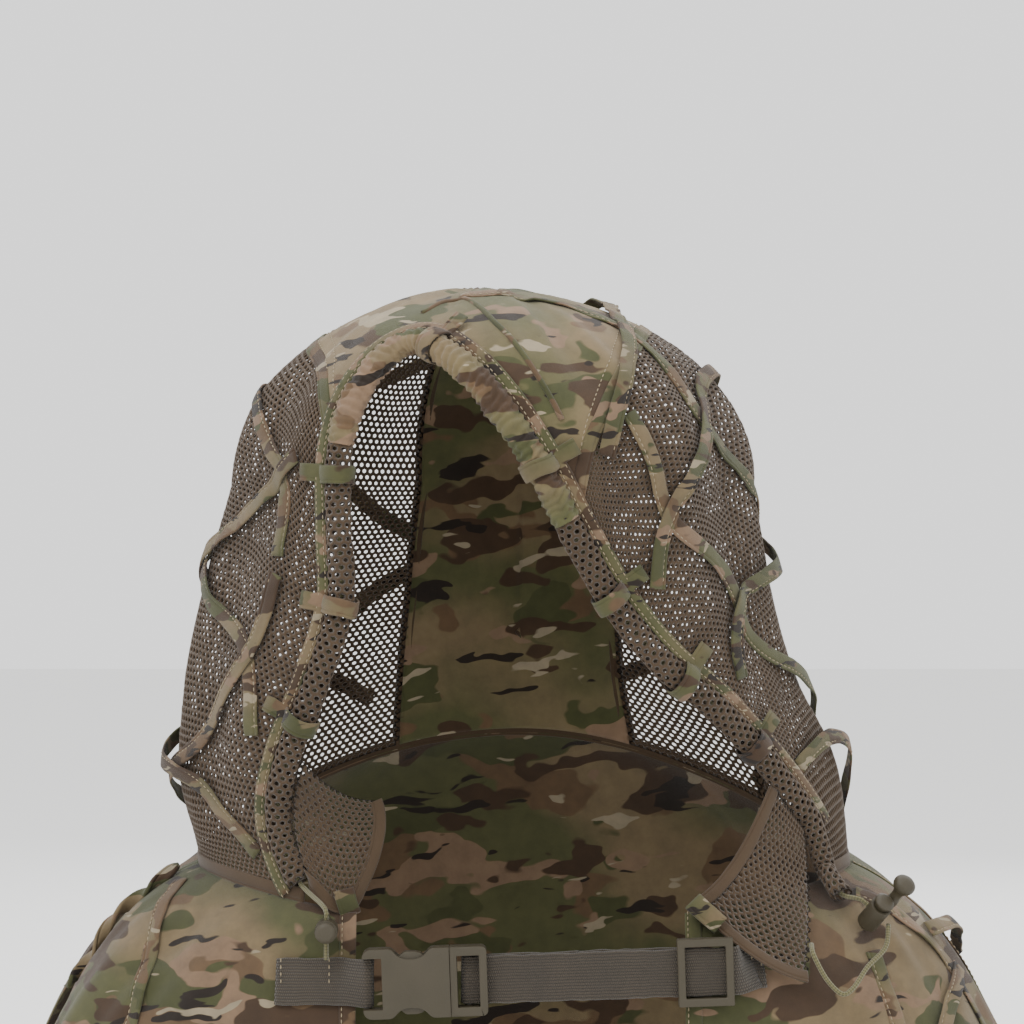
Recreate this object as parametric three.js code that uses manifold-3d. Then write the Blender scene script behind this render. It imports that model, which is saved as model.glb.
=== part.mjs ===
// Ghillie suit hood and shoulder cape: a mesh hood with a drawcord brim, garnish tapes sewn over it
// in a net, and an open-fronted cape closed by a webbing chest strap. Millimetres, +Z up, the front
// faces -Y. The origin is the middle of the neck opening at shoulder height.
import * as THREE from 'three';
import { mergeVertices } from 'three/addons/utils/BufferGeometryUtils.js';
import Module from 'manifold-3d';

const wasm = await Module();
wasm.setup();

// ---- Driving dimensions -------------------------------------------------------------------------
const GAP = 0.3; // between pieces that touch
const HOOD_TOP = 313; // crown above the origin
const HOOD_LEFT = 183; // widest half width on the wearer's right, -X
const HOOD_RIGHT = 176; // widest half width on +X
const HOOD_FRONT = 124; // half depth towards the face
const HOOD_BACK = 124; // half depth towards the nape
const CROWN_SHIFT = -22; // the crown's highest point lies off centre
const CROWN_START = 207; // height where the walls turn in to the crown
const NECK_FRONT = -18; // height of the neck seam
const NECK_SIDE = 3;
const NECK_BACK = 65;
const CLOTH = 2; // fabric panel, with its seams and hems
const CHANNEL_RADIUS = 6; // gathered tunnel round the face opening
const CHANNEL_BORE = 3.2;
const DRAWCORD_RADIUS = 1.3;
const CAPE_SHOULDER = 262; // half width where the shoulder turns down
const CAPE_HEM_WIDTH = 288; // half width at the hem
const CAPE_FRONT = 118; // half depth over the chest
const CAPE_BACK = 150; // half depth over the shoulder blades
const HEM_FRONT = -195;
const HEM_SIDE = -190;
const HEM_BACK = -262;
const FRONT_EDGE_LEFT = -90; // inner edges of the two front panels
const FRONT_EDGE_RIGHT = 89;
const TAPE_WIDTH = 9.5; // garnish tape
const TAPE_THICKNESS = 1.2;
const TAPE_GAP = 0.5; // under a tape that lies on curved cloth
const WEBBING_WIDTH = 25.4;
const WEBBING_THICKNESS = 1.4;
const STRAP_HEIGHT = -44; // chest strap centre line
const STRAP_TILT = -2; // degrees about Y, rising towards +X
const BUCKLE_WIDTH = 36; // across the strap
const BUCKLE_THICKNESS = 12;
const BUCKLE_LEFT = -82; // outer end of the female body
const BUCKLE_BODY = 45; // length of the female body
const PLUG_FRAME = 19; // length of the male frame outside the body
const BAR = 4; // buckle and slider bars
const SLIDER_LENGTH = 29;
const SLIDER_CENTRE = 95;
const STRAP_END = 119; // sewn end on the right front panel
const SHORT_END = -127; // sewn end on the left front panel
const LOCK_RADIUS = 6; // cord lock barrel
const LOCK_LENGTH = 18;
const LOCK_WALL = 1.7;
const LOCK_TRAVEL = 2.4;
const LOCK_HEAD = 3.4;
const LEFT_LOCK_TURN = -31; // where the locks lie on the cape
const LEFT_LOCK_FALL = 0.1;
const RIGHT_LOCK_TURN = 57;
const RIGHT_LOCK_FALL = 0.22;

// ---- Materials ----------------------------------------------------------------------------------
const material = (colour, roughness) =>
  new THREE.MeshStandardMaterial({ color: colour, roughness, metalness: 0 });
const camo = material(0x8a7b58, 0.95);
const mesh = material(0x6f604a, 0.95);
const tapeCloth = material(0x75694a, 0.95);
const cordCloth = material(0x5c5a3c, 0.9);
const webbing = material(0x5d5547, 0.9);
const plastic = material(0x57523f, 0.55);
const springSteel = material(0x9a9a98, 0.4);

const suit = new THREE.Group();
const strap = new THREE.Group();
strap.position.set(0, 0, STRAP_HEIGHT);
strap.rotation.y = THREE.MathUtils.degToRad(STRAP_TILT);
suit.add(strap);

function add(name, geometry, look, parent = suit) {
  const piece = new THREE.Mesh(geometry, look);
  piece.name = name;
  parent.add(piece);
  return piece;
}

// ---- Solids, joined and cut ---------------------------------------------------------------------
function solid(geometry) {
  const plain = geometry.clone();
  plain.deleteAttribute('normal');
  plain.deleteAttribute('uv');
  const merged = mergeVertices(plain, 1e-4);
  const index = merged.index.array;
  return new wasm.Manifold(new wasm.Mesh({
    numProp: 3,
    vertProperties: new Float32Array(merged.attributes.position.array),
    triVerts: new Uint32Array(index),
  }));
}

function geometryOf(body) {
  const data = body.getMesh();
  const geometry = new THREE.BufferGeometry();
  geometry.setAttribute('position', new THREE.BufferAttribute(data.vertProperties, 3));
  geometry.setIndex(new THREE.BufferAttribute(data.triVerts, 1));
  return geometry;
}

const join = (first, ...others) =>
  geometryOf(others.reduce((body, other) => body.add(solid(other)), solid(first)));
const cut = (first, ...others) =>
  geometryOf(others.reduce((body, other) => body.subtract(solid(other)), solid(first)));

function box(low, high) {
  const geometry = new THREE.BoxGeometry(high[0] - low[0], high[1] - low[1], high[2] - low[2]);
  geometry.translate((high[0] + low[0]) / 2, (high[1] + low[1]) / 2, (high[2] + low[2]) / 2);
  return geometry;
}

function rod(radius, from, to, sides = 12) {
  const span = new THREE.Vector3().subVectors(to, from);
  const geometry = new THREE.CylinderGeometry(radius, radius, span.length(), sides);
  const turn = new THREE.Quaternion().setFromUnitVectors(
    new THREE.Vector3(0, 1, 0), span.clone().normalize());
  geometry.applyQuaternion(turn);
  const middle = new THREE.Vector3().addVectors(from, to).multiplyScalar(0.5);
  geometry.translate(middle.x, middle.y, middle.z);
  return geometry;
}

// ---- The hood's surface -------------------------------------------------------------------------
// A point is a turn in degrees round the head, 0 at the front and positive towards +X, and a reach
// from 0 at the crown to 1 at the neck seam.
const rad = THREE.MathUtils.degToRad;
const lerp = THREE.MathUtils.lerp;
const CROWN_REACH = 0.45; // reach at which the walls start

// Half widths as shares of the widest one, by height share: left, right, front, back.
const WALL_ROWS = [
  [-0.1, 0.93, 0.99, 0.87, 0.97],
  [0.03, 0.95, 1.0, 0.88, 0.95],
  [0.19, 1.0, 0.93, 0.92, 0.93],
  [0.32, 0.975, 0.83, 0.95, 0.94],
  [0.48, 0.905, 0.76, 0.98, 0.97],
  [0.66, 0.82, 0.69, 1.0, 1.0],
];

function wallRow(share) {
  const rows = WALL_ROWS;
  let k = 0;
  while (k < rows.length - 2 && share > rows[k + 1][0]) k += 1;
  const span = rows[k + 1][0] - rows[k][0];
  const t = Math.min(1, Math.max(0, (share - rows[k][0]) / span));
  const before = rows[Math.max(0, k - 1)];
  const after = rows[Math.min(rows.length - 1, k + 2)];
  return [1, 2, 3, 4].map((column) => {
    const a = rows[k][column];
    const b = rows[k + 1][column];
    const slopeA = ((b - before[column]) / (rows[k + 1][0] - before[0])) * span;
    const slopeB = ((after[column] - a) / (after[0] - rows[k][0])) * span;
    const t2 = t * t;
    const t3 = t2 * t;
    return (2 * t3 - 3 * t2 + 1) * a + (t3 - 2 * t2 + t) * slopeA
      + (3 * t2 - 2 * t3) * b + (t3 - t2) * slopeB;
  });
}

// A value that is front at turn 0, side at 90 degrees and back at 180.
function around(turn, front, side, back) {
  const ahead = Math.cos(rad(turn));
  return lerp(side, ahead > 0 ? front : back, ahead * ahead);
}

const neckHeight = (turn) => around(turn, NECK_FRONT, NECK_SIDE, NECK_BACK);

function hoodPoint([turn, reach]) {
  const inCrown = reach < CROWN_REACH;
  const roll = inCrown ? (reach / CROWN_REACH) * (Math.PI / 2) : Math.PI / 2;
  const rise = Math.cos(roll);
  const cap = Math.sin(roll);
  const drop = inCrown ? 0 : (reach - CROWN_REACH) / (1 - CROWN_REACH);
  const z = inCrown
    ? CROWN_START + (HOOD_TOP - CROWN_START) * rise
    : lerp(CROWN_START, neckHeight(turn), drop);
  const [left, right, front, back] = wallRow(inCrown ? 0.66 : (z / CROWN_START) * 0.66);
  const sine = Math.sin(rad(turn));
  const cosine = Math.cos(rad(turn));
  const width = sine < 0 ? left * HOOD_LEFT : right * HOOD_RIGHT;
  const brimPush = 1 + 0.45 * rise * rise;
  const depth = cosine > 0 ? front * HOOD_FRONT * brimPush : back * HOOD_BACK;
  return new THREE.Vector3(
    CROWN_SHIFT * (1 - cap) + width * cap * sine, -depth * cap * cosine, z);
}

function reachAt(turn, share) {
  const z = share * HOOD_TOP;
  if (z > CROWN_START) {
    return (Math.acos((z - CROWN_START) / (HOOD_TOP - CROWN_START)) / (Math.PI / 2)) * CROWN_REACH;
  }
  const drop = (CROWN_START - z) / (CROWN_START - neckHeight(turn));
  return CROWN_REACH + drop * (1 - CROWN_REACH);
}

// The plane that the hood's panels are laid out in: the turn and reach as polar coordinates.
const toPlane = ([turn, reach]) => [reach * Math.sin(rad(turn)), -reach * Math.cos(rad(turn))];
const fromPlane = ([a, b]) => [THREE.MathUtils.radToDeg(Math.atan2(a, -b)), Math.hypot(a, b)];
const hoodAt = (flat) => hoodPoint(fromPlane(flat));

function normalAt(surface, flat, step) {
  const [a, b] = flat;
  const alongA = surface([a + step, b]).sub(surface([a - step, b]));
  const alongB = surface([a, b + step]).sub(surface([a, b - step]));
  return alongB.cross(alongA).normalize();
}

const hoodNormal = (flat) => {
  const normal = normalAt(hoodAt, flat, 0.004);
  return normal.dot(hoodAt(flat).sub(new THREE.Vector3(0, 0, 60))) < 0 ? normal.negate() : normal;
};
const hood = { at: hoodAt, normal: hoodNormal };

// ---- The cape's surface -------------------------------------------------------------------------
// A point is a turn, in quarter turns, and a fall from 0 at the neck seam to 1 at the hem.
const boxy = (value, power) => Math.sign(value) * Math.abs(value) ** power;

function capePoint([quarters, fall]) {
  const turn = 90 * quarters;
  const neck = hoodPoint([turn, 1]);
  const sine = boxy(Math.sin(rad(turn)), 0.8);
  const cosine = boxy(Math.cos(rad(turn)), 0.7);
  const shoulder = new THREE.Vector3(
    CAPE_SHOULDER * sine,
    -(cosine > 0 ? CAPE_FRONT : CAPE_BACK) * cosine,
    around(turn, NECK_FRONT - 32, NECK_SIDE - 35, NECK_BACK - 45));
  const hem = new THREE.Vector3(
    CAPE_HEM_WIDTH * sine,
    -(cosine > 0 ? CAPE_FRONT + 14 : CAPE_BACK - 2) * cosine,
    around(turn, HEM_FRONT, HEM_SIDE, HEM_BACK));
  const rest = 1 - fall;
  return neck.multiplyScalar(rest * rest)
    .addScaledVector(shoulder, 2 * rest * fall)
    .addScaledVector(hem, fall * fall);
}

const capeNormal = (flat) => {
  const [turn, fall] = flat;
  const alongTurn = capePoint([turn + 0.005, fall]).sub(capePoint([turn - 0.005, fall]));
  const alongFall = capePoint([turn, fall + 0.005]).sub(capePoint([turn, fall - 0.005]));
  return alongFall.cross(alongTurn).normalize();
};
const cape = { at: capePoint, normal: capeNormal };

// A point that stands off the cape, at a turn in degrees.
function onCape(turn, fall, stand) {
  const flat = [turn / 90, fall];
  return capePoint(flat).addScaledVector(capeNormal(flat), stand);
}

// The turn at which the cape's surface stands at a given x, for the straight front edges.
function frontTurn(x, fall) {
  let low = 0;
  let high = 1;
  for (let k = 0; k < 30; k += 1) {
    const middle = (low + high) / 2;
    if (Math.abs(capePoint([Math.sign(x) * middle, fall]).x) < Math.abs(x)) low = middle;
    else high = middle;
  }
  return Math.sign(x) * low;
}

// ---- Panels and strips --------------------------------------------------------------------------
// A grid of points on a surface, made solid between two offsets along its normal.
function sheet(surface, flatAt, across, down, inner, outer) {
  const places = [];
  [outer, inner].forEach((offset) => {
    for (let j = 0; j <= down; j += 1) {
      for (let i = 0; i <= across; i += 1) {
        const flat = flatAt(i / across, j / down);
        const point = surface.at(flat).addScaledVector(surface.normal(flat), offset);
        places.push(point.x, point.y, point.z);
      }
    }
  });
  const layer = (across + 1) * (down + 1);
  const at = (i, j, k) => k * layer + j * (across + 1) + i;
  const faces = [];
  const quad = (a, b, c, d) => faces.push(a, b, c, a, c, d);
  for (let j = 0; j < down; j += 1) {
    for (let i = 0; i < across; i += 1) {
      quad(at(i, j, 0), at(i + 1, j, 0), at(i + 1, j + 1, 0), at(i, j + 1, 0));
      quad(at(i, j, 1), at(i, j + 1, 1), at(i + 1, j + 1, 1), at(i + 1, j, 1));
    }
  }
  for (let i = 0; i < across; i += 1) {
    quad(at(i, 0, 0), at(i, 0, 1), at(i + 1, 0, 1), at(i + 1, 0, 0));
    quad(at(i, down, 0), at(i + 1, down, 0), at(i + 1, down, 1), at(i, down, 1));
  }
  for (let j = 0; j < down; j += 1) {
    quad(at(0, j, 0), at(0, j + 1, 0), at(0, j + 1, 1), at(0, j, 1));
    quad(at(across, j, 0), at(across, j, 1), at(across, j + 1, 1), at(across, j + 1, 0));
  }
  return outward(places, faces);
}

function outward(places, faces) {
  const geometry = new THREE.BufferGeometry();
  geometry.setAttribute('position', new THREE.Float32BufferAttribute(places, 3));
  let volume = 0;
  const corner = (k) => new THREE.Vector3().fromArray(places, 3 * k);
  for (let k = 0; k < faces.length; k += 3) {
    const normal = corner(faces[k + 1]).cross(corner(faces[k + 2]));
    volume += corner(faces[k]).dot(normal);
  }
  geometry.setIndex(volume < 0 ? faces.slice().reverse() : faces);
  return geometry;
}

// A point inside four boundary curves, blended between them.
function patch(top, bottom, left, right) {
  return (u, v) => top(u).map((_, k) =>
    lerp(top(u)[k], bottom(u)[k], v) + lerp(left(v)[k], right(v)[k], u)
    - lerp(lerp(top(0)[k], top(1)[k], u), lerp(bottom(0)[k], bottom(1)[k], u), v));
}

// A smooth curve through points given as [a, b] or [a, b, c].
function curveThrough(points) {
  const curve = new THREE.CatmullRomCurve3(
    points.map(([a, b, c = 0]) => new THREE.Vector3(a, b, c)), false, 'centripetal');
  return (t) => curve.getPoint(t).toArray();
}

// A flat strip whose middle follows points, its width across the given normals.
function strip(points, normals, width, thickness) {
  const places = [];
  points.forEach((point, k) => {
    const next = points[Math.min(k + 1, points.length - 1)];
    const last = points[Math.max(k - 1, 0)];
    const along = next.clone().sub(last).normalize();
    const side = along.clone().cross(normals[k]).normalize().multiplyScalar(width / 2);
    const up = side.clone().cross(along).normalize().multiplyScalar(thickness);
    const low = point.clone().sub(side);
    const high = point.clone().add(side);
    [low, high, high.clone().add(up), low.clone().add(up)].forEach((p) => places.push(...p));
  });
  const faces = [];
  const end = 4 * (points.length - 1);
  for (let k = 0; k < end; k += 4) {
    for (let i = 0; i < 4; i += 1) {
      const j = (i + 1) % 4;
      faces.push(k + i, k + j, k + 4 + j, k + i, k + 4 + j, k + 4 + i);
    }
  }
  faces.push(0, 2, 1, 0, 3, 2, end, end + 1, end + 2, end, end + 2, end + 3);
  return outward(places, faces);
}

// How high a tape's underside stands off a panel: level 0 lies on it, level 1 crosses over level 0.
const tapeLevel = (level) => CLOTH + TAPE_GAP + level * (TAPE_THICKNESS + TAPE_GAP);

// A garnish tape along a route of [turn, height or fall, lift], the lift adding a standing loop.
const LIFT_SCALE = 200; // brings a lift to the size of the layout coordinates
function tape(surface, toFlat, route, level, steps) {
  const path = curveThrough(route.map(([turn, height, lift]) =>
    [...toFlat([turn, height]), lift / LIFT_SCALE]));
  const points = [];
  const normals = [];
  for (let k = 0; k <= steps; k += 1) {
    const [a, b, lift] = path(k / steps);
    const normal = surface.normal([a, b]);
    const stand = tapeLevel(level) + Math.max(0, lift * LIFT_SCALE);
    points.push(surface.at([a, b]).addScaledVector(normal, stand));
    normals.push(normal);
  }
  return strip(points, normals, TAPE_WIDTH, TAPE_THICKNESS);
}

const hoodFlat = ([turn, share]) => toPlane([turn, reachAt(turn, share)]);
const capeFlat = ([turn, fall]) => [turn / 90, fall];

// ---- The face opening ---------------------------------------------------------------------------
// Its edge as [turn, height share], from the lower left over the brim to the lower right.
const EDGE = [
  [-35, -0.035], [-41, 0.03], [-43, 0.11], [-40, 0.2], [-35, 0.33], [-32, 0.47], [-35, 0.6],
  [-37, 0.7], [-36, 0.81], [-28, 0.893], [-16, 0.863], [-5, 0.78], [2, 0.69], [9, 0.594],
  [19, 0.46], [29, 0.364], [42, 0.272], [58, 0.11], [69, 0.0],
];
const edgeCurve = new THREE.CatmullRomCurve3(
  EDGE.map((point) => hoodAt(hoodFlat(point))), false, 'centripetal');

// The plane coordinates of a point near the hood's surface.
function hoodFlatOf(point) {
  let flat = hoodFlat([THREE.MathUtils.radToDeg(Math.atan2(point.x, -point.y)),
    Math.min(point.z / HOOD_TOP, 0.999)]);
  for (let k = 0; k < 12; k += 1) {
    const step = 0.002;
    const here = hoodAt(flat);
    const alongA = hoodAt([flat[0] + step, flat[1]]).sub(here).divideScalar(step);
    const alongB = hoodAt([flat[0], flat[1] + step]).sub(here).divideScalar(step);
    const miss = point.clone().sub(here);
    const aa = alongA.dot(alongA);
    const ab = alongA.dot(alongB);
    const bb = alongB.dot(alongB);
    const ma = miss.dot(alongA);
    const mb = miss.dot(alongB);
    const scale = aa * bb - ab * ab;
    flat = [flat[0] + (ma * bb - mb * ab) / scale, flat[1] + (mb * aa - ma * ab) / scale];
  }
  return flat;
}

// A point beside the face opening's edge, a distance away from the opening along the surface.
function besideEdge(t, distance) {
  const edge = edgeCurve.getPointAt(t);
  const flat = hoodFlatOf(edge);
  const side = hoodNormal(flat).cross(edgeCurve.getTangentAt(t)).normalize();
  return hoodFlatOf(edge.addScaledVector(side, distance));
}

const CHANNEL_MIDDLE = CHANNEL_RADIUS;
const CHANNEL_CLEAR = 0.8; // between the curved channel and the cloth beside it
const PANEL_START = CHANNEL_MIDDLE + CHANNEL_RADIUS + CHANNEL_CLEAR;
const BRIM_FROM = 0.37; // shares of the edge's length where the camouflage brim starts and ends
const BRIM_TO = 0.63;
const edgeBand = (t) => besideEdge(t, PANEL_START);

// ---- Hood panels --------------------------------------------------------------------------------
const SEAM = 0.004; // half of the clearance between two panels, in the layout plane
const RIM = 1 - 3 / (HOOD_TOP - NECK_SIDE); // the hood's rim stands on the cape's neck seam

const frontLeft = edgeBand(BRIM_FROM);
const frontRight = edgeBand(BRIM_TO);
const edgeBetween = (from, to) => (t) => edgeBand(lerp(from, to, t));

// The crown's seam as [turn, height share], round the back from the brim's right end to its left.
const CROWN_SEAM = [[16, 0.72], [27, 0.82], [52, 0.905], [100, 0.93], [148, 0.92], [180, 0.915],
  [212, 0.92], [245, 0.925], [275, 0.905], [304, 0.86]];
const crownSeam = curveThrough([frontRight, ...CROWN_SEAM.map(hoodFlat), frontLeft]);

const turnOf = (flat) => (fromPlane(flat)[0] + 360) % 360;

function crownSeamAt(turn) {
  let low = 0.02;
  let high = 0.98;
  for (let k = 0; k < 30; k += 1) {
    const middle = (low + high) / 2;
    if (turnOf(crownSeam(middle)) < turn) low = middle;
    else high = middle;
  }
  return low;
}

function partOf(curve, from, to) {
  return (t) => curve(lerp(from, to, t));
}

// Moves a curve towards the crown (negative) or away from it, so that panels clear each other.
const away = (curve, amount) => (t) => {
  const [a, b] = curve(t);
  const keep = 1 + amount / Math.hypot(a, b);
  return [a * keep, b * keep];
};

const CROWN_CORNER = 148; // turns where the crown's side and back boundaries meet
const rightCorner = crownSeamAt(CROWN_CORNER);
const leftCorner = crownSeamAt(360 - CROWN_CORNER);
const crownSides = [edgeBetween(BRIM_FROM, BRIM_TO), partOf(crownSeam, leftCorner, rightCorner),
  partOf(crownSeam, 1, leftCorner), partOf(crownSeam, 0, rightCorner)]
  .map((side) => away(side, -SEAM));
add('hood_crown_panel', sheet(hood, patch(...crownSides), 22, 9, 0, CLOTH), camo);

const SIDE_SEAM = 128; // turn of the seam between side mesh and back mesh
const CENTRE_SEAM = 158; // turn of the seam beside the centre back panel
const SEAM_TURN = 0.35; // half of the clearance at those seams

const under = away(crownSeam, SEAM);
const rim = (from, to) => (u) => toPlane([lerp(from, to, u), RIM]);

// A panel between two turns, from the crown's seam down to the rim.
function wall(fromTurn, toTurn, across, down) {
  const top = partOf(under, crownSeamAt(fromTurn), crownSeamAt(toTurn));
  return sheet(hood, (u, v) => {
    const turn = lerp(fromTurn, toTurn, u);
    return toPlane([turn, lerp(fromPlane(top(u))[1], RIM, v)]);
  }, across, down, 0, CLOTH);
}

// A side panel runs from the face opening's channel to the side seam.
function sidePanel(edge, fromSeam, seamTurn) {
  const top = partOf(under, fromSeam, crownSeamAt(seamTurn));
  const foot = fromPlane(edge(1))[0];
  const bottom = rim(foot < 0 ? foot + 360 : foot, seamTurn);
  const back = (v) => toPlane([seamTurn, lerp(fromPlane(top(1))[1], RIM, v)]);
  const front = (v) => {
    const [turn, reach] = fromPlane(edge(v));
    return toPlane([turn, Math.min(reach, RIM)]);
  };
  return sheet(hood, patch(top, bottom, front, back), 9, 14, 0, CLOTH);
}

const CHANNEL_FROM = 0.03; // shares of the edge where the channel's ends open
const CHANNEL_TO = 0.962;
add('hood_side_mesh_left', sidePanel(edgeBetween(BRIM_FROM, CHANNEL_FROM), 1,
  360 - SIDE_SEAM + SEAM_TURN), mesh);
add('hood_side_mesh_right', sidePanel(edgeBetween(BRIM_TO, CHANNEL_TO), 0,
  SIDE_SEAM - SEAM_TURN), mesh);
add('hood_back_mesh_right', wall(SIDE_SEAM + SEAM_TURN, CENTRE_SEAM - SEAM_TURN, 3, 10), mesh);
add('hood_back_panel', wall(CENTRE_SEAM + SEAM_TURN, 360 - CENTRE_SEAM - SEAM_TURN, 5, 10), camo);
add('hood_back_mesh_left', wall(360 - CENTRE_SEAM + SEAM_TURN, 360 - SIDE_SEAM - SEAM_TURN, 3, 10),
  mesh);

// ---- The channel round the face opening, and what is on it --------------------------------------
const MIDDLE_OFFSET = CLOTH / 2;
function beside(t, distance, offset) {
  const flat = besideEdge(t, distance);
  return hoodAt(flat).addScaledVector(hoodNormal(flat), offset);
}

function sweep(points, radius, bore, sides, steps) {
  const curve = new THREE.CatmullRomCurve3(points, false, 'centripetal');
  const circle = (r, count) => Array.from({ length: count }, (_, k) => {
    const angle = (k / count) * 2 * Math.PI;
    return new THREE.Vector2(r * Math.cos(angle), r * Math.sin(angle));
  });
  const shape = new THREE.Shape(circle(radius, sides));
  if (bore) shape.holes.push(new THREE.Path(circle(bore, 6)));
  return new THREE.ExtrudeGeometry(shape, { steps, extrudePath: curve, bevelEnabled: false });
}

const range = (count) => Array.from({ length: count + 1 }, (_, k) => k / count);
const channelLine = (from, to, steps) =>
  range(steps).map((t) => beside(lerp(from, to, t), CHANNEL_MIDDLE, MIDDLE_OFFSET));
const channel = (points, steps) => sweep(points, CHANNEL_RADIUS, CHANNEL_BORE, 8, steps);
const CHANNEL_SEAM = 0.001;
// The right end comes off the hood and lies on the cape.
const CHANNEL_TAIL = [[63, 0.01], [60, 0.05], [58, 0.09], [57, 0.12]]
  .map(([turn, fall]) => onCape(turn, fall, CLOTH + CHANNEL_RADIUS + CHANNEL_CLEAR));
const leftLine = channelLine(CHANNEL_FROM, BRIM_FROM - CHANNEL_SEAM, 18);
const brimLine = channelLine(BRIM_FROM, BRIM_TO, 24);
const rightLine = [...channelLine(BRIM_TO + CHANNEL_SEAM, CHANNEL_TO - 0.01, 16), ...CHANNEL_TAIL];
add('hood_channel_left', channel(leftLine, 18), mesh);
add('hood_brim', channel(brimLine, 24), camo);
add('hood_channel_right', channel(rightLine, 22), mesh);

// Piping tape along the channel's seam.
const PIPING_WIDTH = 5;
const PIPING_STAND = 0.4; // more than a tape's, over the tight curve of the brim
const pipingLine = range(56).map((t) => lerp(CHANNEL_FROM, CHANNEL_TO, t))
  .map((t) => besideEdge(t, PANEL_START + PIPING_WIDTH / 2 + 2.2));
const pipingNormals = pipingLine.map((flat) => hoodNormal(flat));
add('hood_edge_piping', strip(
  pipingLine.map((flat, k) => hoodAt(flat).addScaledVector(pipingNormals[k], tapeLevel(0) + PIPING_STAND)),
  pipingNormals, PIPING_WIDTH, TAPE_THICKNESS), tapeCloth);

// Tape loops round the channel, open towards the panel.
const LOOP_GAP = 0.9;
const LOOP_OPEN = 32; // degrees either side of the panel
function channelLoop(t) {
  const middle = beside(t, CHANNEL_MIDDLE, MIDDLE_OFFSET);
  const along = beside(t + 0.004, CHANNEL_MIDDLE, MIDDLE_OFFSET)
    .sub(beside(t - 0.004, CHANNEL_MIDDLE, MIDDLE_OFFSET)).normalize();
  const toPanel = beside(t, CHANNEL_MIDDLE + 4, MIDDLE_OFFSET).sub(middle);
  toPanel.addScaledVector(along, -toPanel.dot(along)).normalize();
  const inner = CHANNEL_RADIUS + LOOP_GAP;
  const shape = new THREE.Shape();
  shape.absarc(0, 0, inner + TAPE_THICKNESS, rad(LOOP_OPEN), rad(360 - LOOP_OPEN), false);
  shape.absarc(0, 0, inner, rad(360 - LOOP_OPEN), rad(LOOP_OPEN), true);
  const geometry = new THREE.ExtrudeGeometry(shape,
    { depth: TAPE_WIDTH, steps: 1, curveSegments: 8, bevelEnabled: false });
  geometry.translate(0, 0, -TAPE_WIDTH / 2);
  const frame = new THREE.Matrix4().makeBasis(toPanel, along.clone().cross(toPanel), along);
  geometry.applyMatrix4(frame.setPosition(middle));
  return geometry;
}
const CHANNEL_LOOPS = [0.15, 0.245, 0.345, 0.467, 0.59, 0.7, 0.79, 0.87];
CHANNEL_LOOPS.forEach((t, k) => add(`channel_loop_${k + 1}`, channelLoop(t), tapeCloth));

// ---- Garnish tapes on the hood ------------------------------------------------------------------
// Each route is [turn, height share, lift]; the level is 1 where it crosses over the others.
const HOOD_TAPES = {
  hood_tape_right_1: [0, [[-22, 0.985, 0], [52, 0.94, 0], [57, 0.8, 1], [80, 0.66, 0],
    [110, 0.5, 0], [140, 0.36, 0], [165, 0.27, 0]]],
  hood_tape_right_2: [1, [[21, 0.72, 0], [45, 0.9, 0], [75, 0.955, 0], [120, 0.955, 5],
    [170, 0.93, 0], [215, 0.84, 3], [250, 0.7, 0]]],
  hood_tape_right_3: [0, [[30, 0.79, 0], [33, 0.71, 2], [37, 0.61, 0], [55, 0.51, 2],
    [66, 0.4, 0], [88, 0.3, 5], [105, 0.19, 0], [130, 0.13, 0]]],
  hood_tape_right_4: [1, [[31, 0.5, 0], [33, 0.58, 0], [55, 0.75, 2], [72, 0.84, 0],
    [100, 0.83, 3], [135, 0.7, 0], [175, 0.56, 0], [215, 0.42, 0]]],
  hood_tape_right_5: [0, [[53, 0.345, 0], [53, 0.42, 3], [84, 0.53, 6], [112, 0.6, 0.6],
    [150, 0.5, 3], [180, 0.38, 0]]],
  hood_tape_right_6: [0, [[63, 0.19, 0], [72, 0.22, 6], [86, 0.2, 9], [97, 0.1, 0], [112, 0.07, 0]]],
  hood_tape_left_1: [0, [[-52, 0.55, 0], [-55, 0.66, 0], [-68, 0.74, 2], [-92, 0.82, 0],
    [-118, 0.76, 0], [-150, 0.6, 0], [-176, 0.47, 0]]],
  hood_tape_left_2: [1, [[-51, 0.72, 0], [-60, 0.67, 2], [-78, 0.59, 0], [-100, 0.47, 4],
    [-125, 0.35, 0], [-152, 0.27, 0]]],
  hood_tape_left_3: [0, [[-50, 0.25, 0], [-53, 0.36, 0], [-77, 0.47, 3], [-98, 0.56, 0],
    [-122, 0.52, 2], [-140, 0.42, 0]]],
  hood_tape_left_4: [1, [[-50, 0.52, 1], [-53, 0.4, 0], [-60, 0.32, 2], [-72, 0.22, 0],
    [-100, 0.12, 5], [-125, 0.12, 0]]],
  hood_tape_left_5: [0, [[-52, 0.05, 0], [-60, 0.1, 0], [-68, 0.15, 2], [-88, 0.2, 8],
    [-105, 0.27, 0], [-120, 0.33, 0]]],
};
Object.entries(HOOD_TAPES).forEach(([name, [level, route]]) => {
  add(name, tape(hood, hoodFlat, route, level, 4 * (route.length - 1)), tapeCloth);
});

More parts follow.
